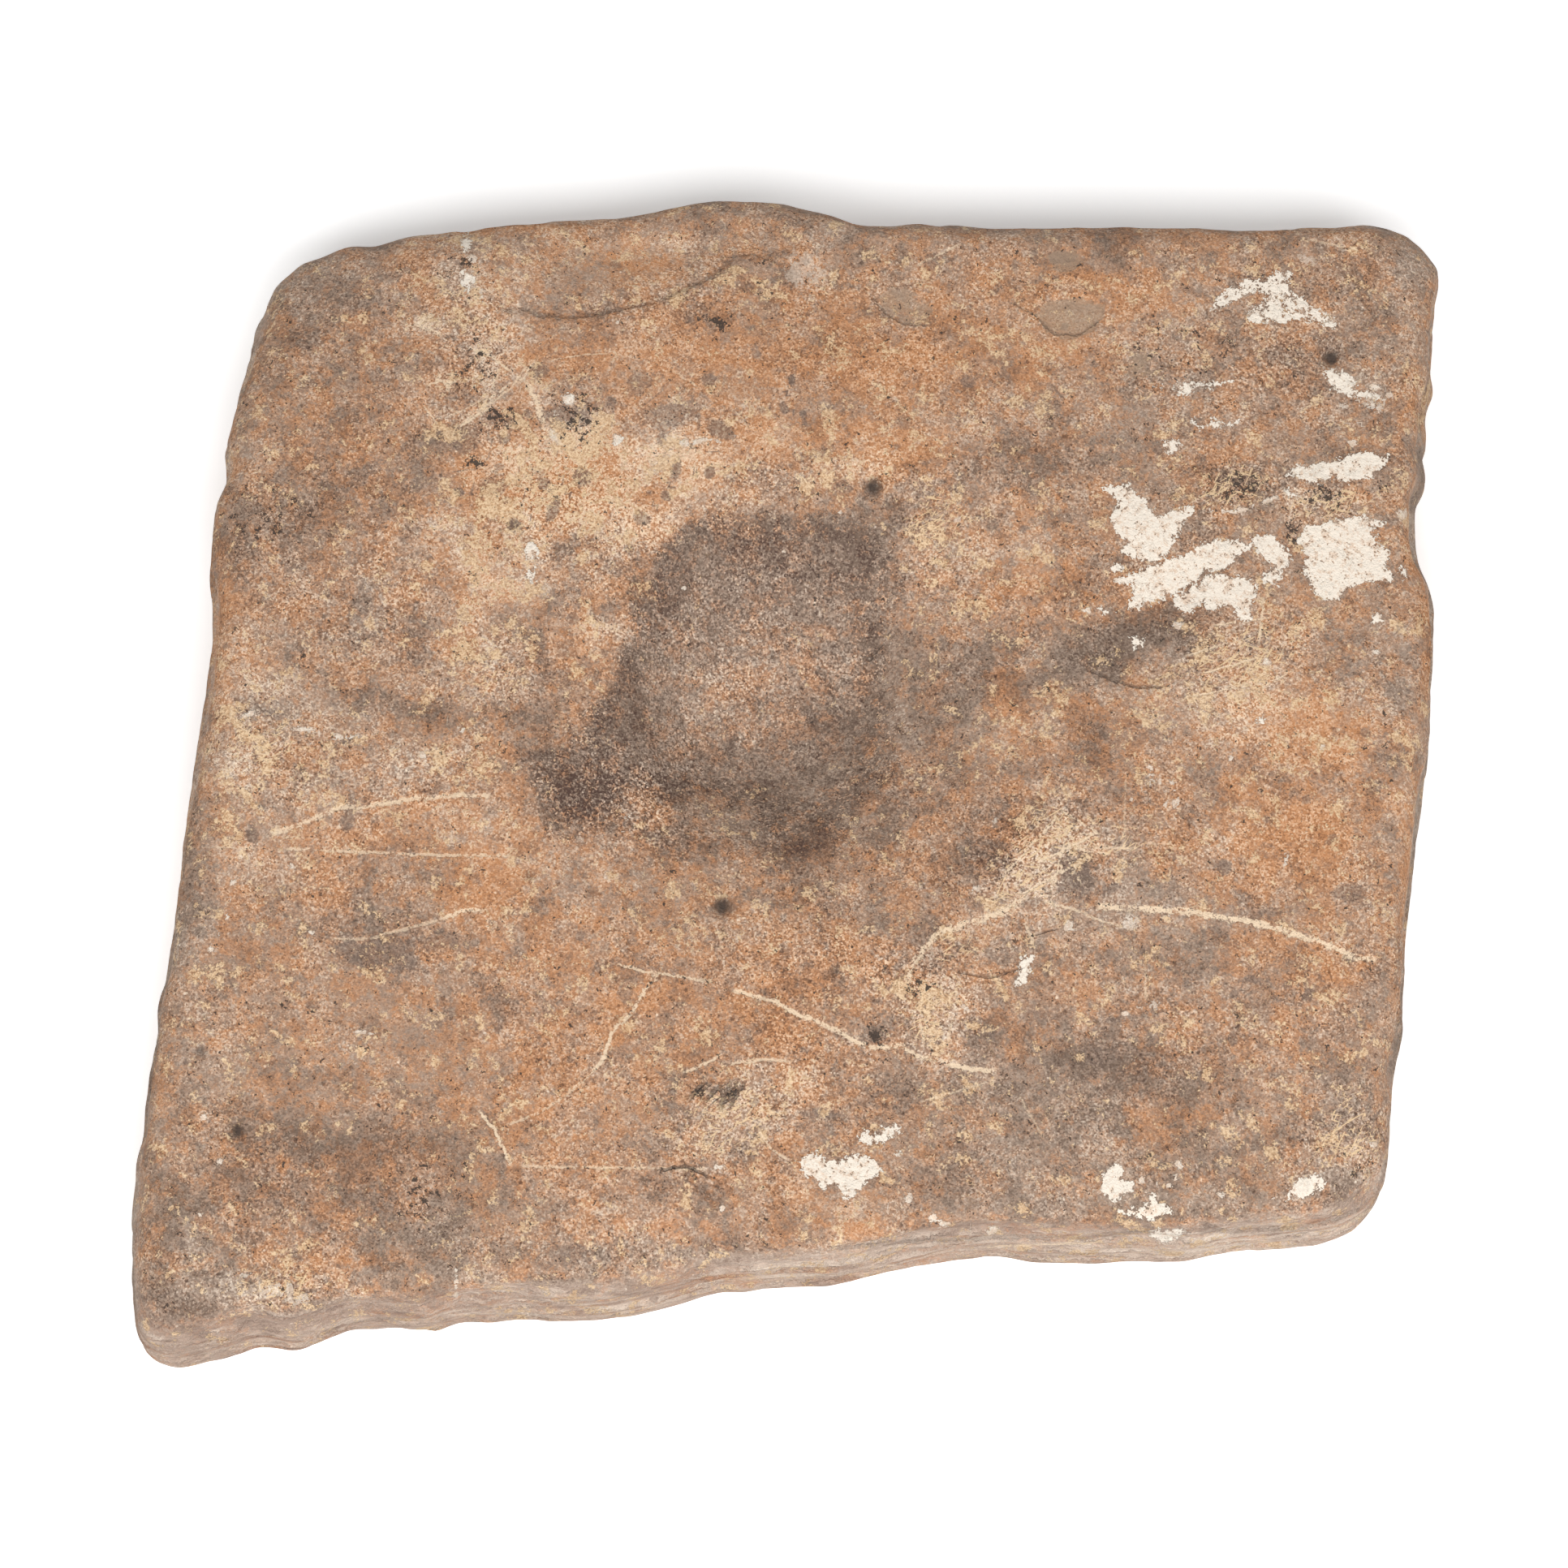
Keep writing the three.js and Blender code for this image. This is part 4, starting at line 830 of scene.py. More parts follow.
def line_offset(places, corners):
    """Signed offset from a line of straight pieces, how far away it is, and how far past its ends.

    The sign is that of the cross product of the nearest piece's direction with the way to the point.
    """
    offset = np.zeros(len(places))
    nearest = np.full(len(places), np.inf)
    past = np.zeros(len(places))
    last = len(corners) - 2
    for i, (start, stop) in enumerate(zip(corners, corners[1:])):
        start, stop = np.array(start, float), np.array(stop, float)
        length = np.linalg.norm(stop - start)
        direction = (stop - start) / length
        away = places - start
        run = away @ direction
        across = direction[0] * away[:, 1] - direction[1] * away[:, 0]
        beyond = np.maximum(-run, run - length)
        distance = np.hypot(across, np.clip(beyond, 0, None))
        at_end = ((run < 0) & (i == 0)) | ((run > length) & (i == last))
        closer = distance < nearest
        offset = np.where(closer, np.where(at_end, across, np.copysign(distance, across)), offset)
        past = np.where(closer, np.where(at_end, beyond, 0), past)
        nearest = np.minimum(nearest, distance)
    return offset, nearest, past


def line_marks(places, lines):
    """For scratches, or for cracks and painted step shadows, the offset from the nearest in its half widths,
    and how surely it is there.
    """
    offset = np.full(len(places), FAR)
    presence = np.zeros(len(places))
    nearest = np.full(len(places), np.inf)
    for half_width, strength, corners in lines:
        across, distance, past = (value / PIXELS_PER_MM for value in line_offset(places, corners))
        closer = distance < nearest
        sure = (1 - smooth(distance, LINE_SURE, LINE_GONE)) * (1 - smooth(past, 0, LINE_RUN_OUT))
        offset = np.where(closer, across / half_width, offset)
        presence = np.where(closer, sure * strength, presence)
        nearest = np.minimum(nearest, distance)
    return np.clip(offset, -FAR, FAR), presence


def turn_of(rest):
    """The turn in degrees that may end a row. Pixels run down the picture, so its users change its sign."""
    return rest[0] if rest else 0


def spot_marks(places, spots):
    """The offset from the nearest spot along its two axes, in its half widths, and how strong it is there."""
    along, across = np.full(len(places), FAR), np.full(len(places), FAR)
    strength = np.zeros(len(places))
    nearest = np.full(len(places), np.inf)
    for x, y, half_length, half_breadth, strong, *turn in spots:
        angle = math.radians(-turn_of(turn))
        right, down = places[:, 0] - x, places[:, 1] - y
        run = right * math.cos(angle) + down * math.sin(angle)
        aside = down * math.cos(angle) - right * math.sin(angle)
        gap = np.hypot(right, down) - half_breadth
        closer = (gap < nearest) & (gap < half_length + SPOT_MARGIN)
        along = np.where(closer, run / half_length, along)
        across = np.where(closer, aside / half_breadth, across)
        strength = np.where(closer, strong, strength)
        nearest = np.where(closer, gap, nearest)
    return along, across, strength


def patch_sum(places, patches):
    """The sum of soft turned ellipses, each with its strength at its middle."""
    total = np.zeros(len(places))
    for x, y, half_length, half_breadth, strength, *turn in patches:
        reach = reach_of(places[:, 0], places[:, 1], (x, y), half_length, half_breadth, -turn_of(turn))
        total += strength * fade(reach / PATCH_SPREAD)
    return total


def closed_curve(knots, samples):
    """A centripetal Catmull-Rom curve: cubic pieces through the knots.

    Their slopes come from the square roots of the distances between neighbours.
    """
    a, b, c, d = (np.roll(knots, shift, axis=0) for shift in (1, 0, -1, -2))
    roots = (np.sqrt(np.linalg.norm(q - p, axis=1))[:, None] for p, q in ((a, b), (b, c), (c, d)))
    before, within, after = roots
    leave = ((b - a) / before - (c - a) / (before + within) + (c - b) / within) * within
    arrive = ((c - b) / within - (d - b) / (within + after) + (d - c) / after) * within
    t = (np.arange(samples) / samples)[None, :, None]
    b, c, leave, arrive = (value[:, None, :] for value in (b, c, leave, arrive))
    curve = (2 * t ** 3 - 3 * t ** 2 + 1) * b + (t ** 3 - 2 * t ** 2 + t) * leave
    curve = curve + (3 * t ** 2 - 2 * t ** 3) * c + (t ** 3 - t ** 2) * arrive
    return curve.reshape(-1, knots.shape[1])


def outline_points(sizes, columns, rows):
    """Points round the outline, evenly spaced along each side between its corners.

    With them come the worn strip's width and the share of the way round at each.
    """
    knots = np.array([knot for side in OUTLINE_SHARES.values() for knot in side], float)
    knots *= (sizes.length, sizes.breadth, sizes.arris)
    curve = closed_curve(knots, CURVE_SAMPLES)
    low, high = curve[:, :2].min(axis=0), curve[:, :2].max(axis=0)
    stretch = np.array([sizes.length, sizes.breadth]) / (high - low)
    curve[:, :2] = (curve[:, :2] - (low + high) / 2) * stretch
    curve = np.vstack([curve, curve[:1]])
    travelled = np.concatenate([[0], np.cumsum(np.linalg.norm(np.diff(curve[:, :2], axis=0), axis=1))])
    starts = np.cumsum([0] + [len(side) * CURVE_SAMPLES for side in OUTLINE_SHARES.values()])
    counts = (rows, columns, rows, columns)
    stops = [np.linspace(travelled[a], travelled[b], count, endpoint=False)
             for a, b, count in zip(starts, starts[1:], counts)]
    stops = np.concatenate(stops)
    points = np.stack([np.interp(stops, travelled, curve[:, axis]) for axis in range(3)], axis=1)
    return points[:, :2], points[:, 2], stops / travelled[-1]


def face_height(x, y, sizes):
    """The upper face before its edges are rounded: the thickness less the dish, the cup and the scars."""
    def place(shares):
        return shares[0] * sizes.length, shares[1] * sizes.breadth

    height = sizes.thickness - sizes.dish_depth * fade(reach_of(x, y, place(DISH[0]), *DISH[1:]))
    height -= sizes.cup_depth * (1 - smooth(reach_of(x, y, place(CUP[0]), *CUP[1:]), CUP_FLOOR_SHARE, 1))
    for centre_x, centre_y, half_length, half_breadth, degrees, depth in SCAR_SHARES:
        halves = (half_length * sizes.length, half_breadth * sizes.length)
        reach = reach_of(x, y, place((centre_x, centre_y)), *halves, degrees)
        height -= depth * sizes.thickness * fade(reach)
    return height


def side_inset(around, z, sizes):
    """How far the side lies in from the outline.

    It bulges at half height, and its soft beds are sine waves over the height that come and go.
    """
    off = np.abs(2 * z / sizes.thickness - 1)
    turn = 2 * math.pi
    sway = BED_SWAY * np.sin(turn * BED_SWAY_WAVES * around)
    bed = (1 + np.sin(turn * BED_COUNT * z / sizes.thickness + sway)) / 2
    patchy = (1 + np.sin(turn * BED_FADE_WAVES * around)) / 2
    return off * (sizes.bulge * off + sizes.bed_relief * bed * patchy)


def face_relief(points):
    """How far weathering has lowered the upper face: broad and fine noise, kept at or above nothing."""
    flat = points * (1, 1, 0)
    broad = 0.5 + 0.5 * layered_noise(flat, BROAD_WAVE, 3, SEEDS["broad relief"])
    fine = 0.5 + 0.5 * layered_noise(flat, FINE_WAVE, 3, SEEDS["fine relief"], 0.6)
    return np.clip(BROAD_DEPTH * broad + FINE_DEPTH * fine, 0, None)


def face_dents(points):
    """How deep the pits and the split flakes are: round hollows, and outlines with a step at their edge."""
    places = picture_place(points)
    depth = np.zeros(len(points))
    for x, y, radius, deep in PITS:
        reach = np.hypot(places[:, 0] - x, places[:, 1] - y) / radius
        depth = np.maximum(depth, deep * MM * fade(reach / PIT_SPREAD))
    ragged = SCAR_RAGGED * layered_noise(points, SCAR_WAVE, 3, SEEDS["scar edges"], 0.6)
    for corners, deep, _ in FLAKES:
        inside = polygon_depth(places, corners) / PIXELS_PER_MM + ragged
        depth = np.maximum(depth, deep * MM * smooth(inside, *SCAR_STEP))
    return depth


def side_relief(points):
    """How far weathering has cut into the side: long thin beds, hard or soft, with flakes split off them."""
    beds = smooth(layered_noise(points, BED_WAVES, 3, SEEDS["beds"]), -0.1, 0.12)
    flakes = 0.5 + 0.5 * layered_noise(points, FLAKE_WAVES, 3, SEEDS["side flakes"], 0.65)
    return BED_CUT * beds + FLAKE_CUT * np.clip(flakes, 0, None) - SIDE_STANDS_OUT


def way_in(edge):
    """The direction into the stone at each outline point.

    It is square to the line through two points some way off on either side, so it swings gently round
    the corners.
    """
    span = round(CHORD_REACH / np.linalg.norm(edge[1] - edge[0]))
    chord = np.roll(edge, -span, axis=0) - np.roll(edge, span, axis=0)
    inward = np.stack([-chord[:, 1], chord[:, 0]], axis=1)
    return inward / np.linalg.norm(inward, axis=1)[:, None]


def swell(edge, inward, height):
    """The outline with its swells and nicks: each moves the points near it in or out, less with distance."""
    middle = picture_place(np.column_stack([edge, np.full(len(edge), height)]))
    for x, y, reach, out in SWELLS:
        share = fade(np.hypot(middle[:, 0] - x, middle[:, 1] - y) / reach)
        edge = edge - inward * (out * MM * share)[:, None]
    return edge


def face_grid(rim, columns, rows):
    """Places on the upper face, as a grid inside its rim.

    It is blended from the four sides of the rim, then relaxed, each point to the mean of its four
    neighbours, so that it doesn't fold at the blunt corners.
    """
    right, back, left, front = np.split(rim, np.cumsum([rows, columns, rows]))
    right = np.vstack([right, back[:1]])
    back = np.vstack([back, left[:1]])[::-1]
    left = np.vstack([left, front[:1]])[::-1]
    front = np.vstack([front, rim[:1]])
    u = np.linspace(0, 1, columns + 1)[None, :, None]
    v = np.linspace(0, 1, rows + 1)[:, None, None]
    grid = (1 - v) * front[None] + v * back[None] + (1 - u) * left[:, None] + u * right[:, None]
    grid -= (1 - v) * ((1 - u) * front[0] + u * front[-1]) + v * ((1 - u) * back[0] + u * back[-1])
    for _ in range(RELAX_ROUNDS):
        grid[1:-1, 1:-1] = (grid[:-2, 1:-1] + grid[2:, 1:-1] + grid[1:-1, :-2] + grid[1:-1, 2:]) / 4
    return grid


def stone_surface(sizes):
    """The whole surface as points and faces, with how far each point is side, underside and seen.

    The face is a grid inside the rim. Rows then go over a quarter ellipse, down the side and under a
    quarter circle to the foot, and a fan closes the flat base.
    """
    columns, rows = sizes.columns, sizes.rows
    edge, width, around = outline_points(sizes, columns, rows)
    count = len(edge)
    inward = way_in(edge)
    edge = swell(edge, inward, sizes.thickness / 2)
    drop = sizes.arris_drop + WEAR_DROP_SHARE * (width - sizes.arris)
    shoulder = face_height(*edge.T, sizes) - drop
    shoulder_inset = side_inset(around, shoulder, sizes)

    start = edge + inward * shoulder_inset[:, None]
    rim = start + inward * width[:, None]
    rim = np.mean([np.roll(rim, shift, axis=0) for shift in range(-RIM_REACH, RIM_REACH + 1)], axis=0)
    flat = face_grid(rim, columns, rows).reshape(-1, 2)
    face = np.column_stack([flat, face_height(*flat.T, sizes)])
    face[:, 2] -= face_relief(face) + face_dents(face)

    # Each strip: where it runs, its height, how upright it is, how far it is under the stone
    strips = []
    for row in range(1, ARRIS_ROWS + 1):
        angle = math.pi / 2 * row / ARRIS_ROWS
        place = start + (rim - start) * (1 - math.sin(angle))
        height = face_height(*place.T, sizes) - drop * (1 - math.cos(angle))
        strips.append((place, height, math.sin(angle), 0))
    for row in range(1, SIDE_ROWS + 1):
        height = shoulder + (sizes.foot - shoulder) * row / SIDE_ROWS
        place = edge + inward * side_inset(around, height, sizes)[:, None]
        strips.append((place, height, 1, 0))
    foot_inset = side_inset(around, np.full(count, sizes.foot), sizes)
    for row in range(1, FOOT_ROWS + 1):
        angle = math.pi / 2 * row / FOOT_ROWS
        place = edge + inward * (foot_inset + sizes.foot * (1 - math.cos(angle)))[:, None]
        height = np.full(count, sizes.foot * (1 - math.sin(angle)))
        strips.append((place, height, math.cos(angle), math.sin(angle)))
    facing = smooth(inward[:, 1], *FACING)
    outer = []
    for place, height, upright, under in strips:
        bare = np.column_stack([place, height])
        place = place + inward * (side_relief(bare) * upright)[:, None]
        level = 0 if under else math.sqrt(1 - upright ** 2)
        outer.append(np.column_stack([place, height - (face_relief(bare) + face_dents(bare)) * level]))
    sides = np.vstack(outer)
    zero, one = np.zeros(len(face)), np.ones(len(face))
    walls = [1 if under else upright for _, _, upright, under in strips]
    begins = WALL_BEGINS - FRONT_SOONER * facing
    side = np.concatenate([zero] + [smooth(wall, begins, 1) for wall in walls] + [[1]])
    below = np.concatenate([zero] + [np.full(count, under) for _, _, _, under in strips] + [[1]])
    hidden = [(1 - facing) * smooth(wall, HIDDEN_BEGINS, 1) for wall in walls]
    seen = np.concatenate([one] + [1 - share for share in hidden] + [[0]]) * (1 - below)

    index = np.arange(len(face)).reshape(rows + 1, columns + 1)
    quads = [np.stack([index[:-1, :-1], index[:-1, 1:], index[1:, 1:], index[1:, :-1]], axis=-1)]
    ring = np.concatenate([index[:-1, -1], index[-1, :0:-1], index[:0:-1, 0], index[0, :-1]])
    rings = np.vstack([ring, len(face) + np.arange(len(sides)).reshape(-1, count)])
    after = np.roll(rings, -1, axis=1)
    quads.append(np.stack([rings[:-1], rings[1:], after[1:], after[:-1]], axis=-1))
    quads = np.vstack([cells.reshape(-1, 4) for cells in quads])
    middle = len(face) + len(sides)
    fan = np.stack([rings[-1], np.full(count, middle), after[-1]], axis=-1)
    points = np.clip(np.vstack([face, sides, [[0, 0, 0]]]), CAD_LOW, CAD_HIGH)
    return points, quads, fan, side, below, seen


def make_mesh(name, points, quads, fan):
    """A mesh object at the origin, from point, four-sided and three-sided arrays."""
    mesh = bpy.data.meshes.new(name)
    mesh.from_pydata(points.tolist(), [], quads.tolist() + fan.tolist())
    mesh.shade_smooth()
    mesh.update()
    stone = bpy.data.objects.new(name, mesh)
    bpy.context.collection.objects.link(stone)
    return stone


def add_attribute(mesh, name, values):
    """A number at each point of the mesh, which the material reads."""
    mesh.attributes.new(name, "FLOAT", "POINT").data.foreach_set("value", values.astype(np.float32))


def stain_mark(places):
    """Depth inside the stain over how softly it ends: softest on its right, less so below and on its left."""
    softness = STAIN_SOFTNESS + 8 * smooth(places[:, 0], 1020, 1150) + 3 * smooth(places[:, 1], 930, 1050)
    softness += 3 * (1 - smooth(places[:, 0], 660, 780))
    return np.clip(polygon_depth(places, STAIN) / PIXELS_PER_MM / softness, -FAR, FAR)


def lime_mark(places, seen):
    """Depth inside the nearest lime in millimetres, negative outside it. Lace never counts as deep inside."""
    solid, lace = (np.max([polygon_depth(places, patch) for patch in patches], axis=0)
                   for patches in (LIME_PATCHES, LIME_LACE))
    lime = np.maximum(solid, np.minimum(lace, LACE_DEPTH) - LACE_LOSS) / PIXELS_PER_MM
    return np.clip(np.where(seen > 0.5, lime, -FAR), -FAR, FAR)


def pit_mark(places):
    """How dark the painted shade of a pit makes each point: by its depth, fading past its rim."""
    pit = np.zeros(len(places))
    for x, y, radius, deep in PITS:
        reach = np.hypot(places[:, 0] - x, places[:, 1] - y) / radius
        pit = np.maximum(pit, min(deep / PIT_DARK_DEPTH, 1) * (1 - smooth(reach, *PIT_SHADE)))
    return pit


def surface_marks(points, side, below, seen):
    """Every mark that the material reads, as numbers at the points.

    Marks that the photograph shows are placed by its pixels. Where it doesn't see, noise stands in.
    """
    places = picture_place(points)
    marks = {"side": side, "below": below, "seen": seen}
    unseen_tone = UNSEEN_TONE * layered_noise(points, UNSEEN_TONE_WAVE, 3, SEEDS["unseen tone"], 0.7)
    unseen_warmth = UNSEEN_WARMTH * layered_noise(points, UNSEEN_WARMTH_WAVE, 3, SEEDS["unseen warmth"], 0.7)
    unseen_crust = smooth(layered_noise(points, UNSEEN_CRUST_WAVE, 2, SEEDS["unseen crust"]), 0.35, 0.8)
    unseen_crust = UNSEEN_CRUST * unseen_crust
    # The tone marks carry the stone's own tone and painted shade along its edges, at its corners and in the
    # hollow
    tone = seen * patch_sum(places, TONE_PATCHES) + (1 - seen) * unseen_tone + FRONT_LIGHTER * seen * side
    marks["tone"] = tone / TONE_RANGE
    marks["warmth"] = seen * patch_sum(places, WARM_PATCHES) + (1 - seen) * unseen_warmth
    marks["crust"] = seen * patch_sum(places, CRUST_PATCHES) + (1 - seen) * unseen_crust
    marks["fleck"] = seen * patch_sum(places, FLECK_PATCHES)
    marks["network"] = seen * patch_sum(places, NETWORK_PATCHES)
    marks["busy"] = BUSY_BASE + seen * patch_sum(places, BUSY_PATCHES)
    marks["stain"] = stain_mark(places)
    marks["lime"] = lime_mark(places, seen)
    marks["pit"] = pit_mark(places) * seen
    for name, lines in (("scratch", SCRATCHES), ("cross", CROSS_SCRATCHES), ("crack", CRACKS)):
        marks[name], presence = line_marks(places, lines)
        marks[name + "_presence"] = presence * seen
    for name, spots in (("white", WHITE_SPOTS), ("grey", GREY_SPOTS)):
        marks[name + "_along"], marks[name + "_across"], strength = spot_marks(places, spots)
        marks[name] = strength * seen
    scars = [(polygon_depth(places, corners), tint) for corners, _, tint in FLAKES]
    scars = [tint * smooth(inside, -SCAR_BLUR, SCAR_BLUR) for inside, tint in scars]
    marks["flake"] = seen * np.max(scars, axis=0)
    return marks


def add(tree, kind, inputs=None, **settings):
    """A shader node with its settings and inputs, where an input is a value or another node's output."""
    node = tree.nodes.new(kind)
    for name, value in settings.items():
        setattr(node, name, value)
    for name, value in (inputs or {}).items():
        if isinstance(value, bpy.types.NodeSocket):
            tree.links.new(value, node.inputs[name])
        else:
            node.inputs[name].default_value = value
    return node


def maths(tree, operation, *values):
    """A chain of one operation over two or more values."""
    result = values[0]
    for value in values[1:]:
        result = add(tree, "ShaderNodeMath", {0: result, 1: value}, operation=operation).outputs[0]
    return result


class StoneNodes:
    """The nodes that the stone's finish is made from: its marks, its noises, and sums and steps of them."""

    def __init__(self, tree):
        self.add = partial(add, tree)
        self.plus = partial(maths, tree, "ADD")
        self.times = partial(maths, tree, "MULTIPLY")
        self.most = partial(maths, tree, "MAXIMUM")
        self.rest = partial(maths, tree, "SUBTRACT", 1)
        self.marks = {}
        for name in MARKS:
            self.marks[name] = self.add("ShaderNodeAttribute", attribute_name=name).outputs["Fac"]
        self.place = self.add("ShaderNodeTexCoord").outputs["Object"]
        turned = {"Vector": self.place, "Rotation": NOISE_TURN}
        self.turned = self.add("ShaderNodeMapping", turned).outputs[0]

        # From blotches down to single grains of sand, with a darker or redder tint for each grain
        self.mottle = self.cloud(self.turned, MOTTLE_WAVE, 7, 0.8)
        self.ragged = self.cloud(self.moved(3.1, 1.7, 0.9), RAGGED_WAVE, 6, 0.8)
        self.uneven = self.cloud(self.moved(0.2, 1.1, 3.7), UNEVEN_WAVE, 4, 0.8)
        self.grain = self.cloud(self.turned, GRAIN_WAVE, 3, 0.9)
        _, red, green, _ = self.cells(SAND_CELL)
        self.sifted = self.plus(red, -0.5)
        self.warm_sand = self.plus(green, -0.5)
        self.rough = self.plus(self.times(self.grain, 0.3), self.times(self.sifted, 0.35))
        self.patchy = self.step(self.plus(self.mottle, self.times(self.ragged, 0.4)), -0.5, 0.7)
        straw = self.cloud(self.moved(0.7, 3.3, 2.6), STRAW_WAVE, 6, 0.77)
        self.straw = self.plus(straw, self.times(self.rough, 0.7))
        self.beds = self.bed_cloud()

    def moved(self, *offset):
        """The turned place moved by an offset in metres, so that a noise there is a new one."""
        return self.add("ShaderNodeVectorMath", {0: self.turned, 1: offset}, operation="ADD").outputs[0]

    def cloud(self, place, wavelength, octaves, roughness):
        """Noise about nothing, each octave of it half as long and roughness times as strong."""
        inputs = {"Vector": place, "Scale": 1 / wavelength, "Detail": octaves - 1, "Roughness": roughness}
        return self.add("ShaderNodeTexNoise", inputs, normalize=False).outputs["Fac"]

    def cells(self, width):
        """Random cells of a width: the distance from a cell's middle, and three random numbers of its own."""
        cell = self.add("ShaderNodeTexVoronoi", {"Vector": self.turned, "Scale": 1 / width})
        kinds = self.add("ShaderNodeSeparateColor", {"Color": cell.outputs["Color"]}).outputs
        return cell.outputs["Distance"], kinds["Red"], kinds["Green"], kinds["Blue"]

    def bed_cloud(self):
        """Long thin layers of noise that lie flat and sway up and down a little."""
        sway = self.plus(self.times(self.mottle, 1.6 * MM), self.times(self.ragged, 0.7 * MM))
        sway = self.add("ShaderNodeCombineXYZ", {"Z": sway}).outputs[0]
        swayed = self.add("ShaderNodeVectorMath", {0: self.place, 1: sway}, operation="ADD").outputs[0]
        drawn_out = {"Vector": swayed, "Scale": (BED_SLIMNESS, BED_SLIMNESS, 1)}
        drawn_out = self.add("ShaderNodeMapping", drawn_out).outputs[0]
        return self.cloud(drawn_out, BED_WAVE, 4, 0.8)

    def threads(self, degrees):
        """Fine parallel threads that lie in one direction: noise that is stretched along it."""
        turn, stretch = (0, 0, math.radians(degrees)), (THREAD_STRETCH, 1, 1)
        laid = {"Vector": self.place, "Rotation": turn, "Scale": stretch}
        laid = self.add("ShaderNodeMapping", laid, vector_type="TEXTURE").outputs[0]
        return self.step(self.cloud(laid, THREAD_WAVE, 2, 0.7), 0.42, 0.54)

    def step(self, value, low, high):
        """0 below low, 1 above high and smooth between."""
        inputs = {"Value": value, "From Min": low, "From Max": high}
        return self.add("ShaderNodeMapRange", inputs, interpolation_type="SMOOTHSTEP").outputs["Result"]

    def line(self, name, sway, low, high):
        """How surely a point is on a scratch, crack or painted step shadow: its offset without a sign,
        unsteady by the noises.
        """
        gap = self.plus(self.marks[name], self.times(self.uneven, sway), self.times(self.grain, 0.3))
        gap = self.most(gap, self.times(gap, -1))
        return self.times(self.rest(self.step(gap, low, high)), self.marks[name + "_presence"])

    def spot_reach(self, name):
        """The square of the distance from the nearest spot's middle, where 1 is on its rim."""
        along, across = self.marks[name + "_along"], self.marks[name + "_across"]
        return self.plus(self.times(along, along), self.times(across, across))

    def mix(self, factor, low, high):
        """One colour, with another over it by factor."""
        inputs = {"Factor": factor, "A": low, "B": high}
        return self.add("ShaderNodeMix", inputs, data_type="RGBA").outputs["Result"]

    def skin(self, tone, colours):
        """A skin's colour, which runs through four, from the deepest at a tone of 0 to the palest at 1."""
        node = self.add("ShaderNodeValToRGB", {"Fac": tone})
        elements = node.color_ramp.elements
        for place in SKIN_PLACES[2:]:
            elements.new(place)
        for element, place, colour in zip(elements, SKIN_PLACES, colours):
            element.position = place
            element.color = opaque(colour)
        return node.outputs["Color"]


def opaque(colour):
    """A colour of the panel, as a shader's socket takes it."""
    return (*colour, 1)


def stain_share(nodes):
    """How stained a place is: inside the stain's outline, but for grains near its edge that stand clear."""
    plus, times, step, marks = nodes.plus, nodes.times, nodes.step, nodes.marks
    grains = step(plus(nodes.uneven, times(nodes.rough, 1.6)), 0.3, 0.5)
    stained = plus(
        marks["stain"],
        times(nodes.uneven, 1.2),
        times(nodes.rough, 2.2),
        times(nodes.ragged, 0.5),
        times(nodes.mottle, 0.5),
    )
    stained = times(step(stained, -0.1, 0.5), marks["seen"])
    return times(stained, plus(1, times(grains, step(marks["stain"], 6, 0), -0.8)))


def crust_share(nodes, stained):
    """Cream crust, where the straw-coloured noise is high and the crust marks are strong."""
    plus, times, marks = nodes.plus, nodes.times, nodes.marks
    crust = plus(nodes.straw, times(marks["crust"], 0.7), marks["tone"], times(stained, -0.5))
    return nodes.step(crust, 0.58, 0.68)


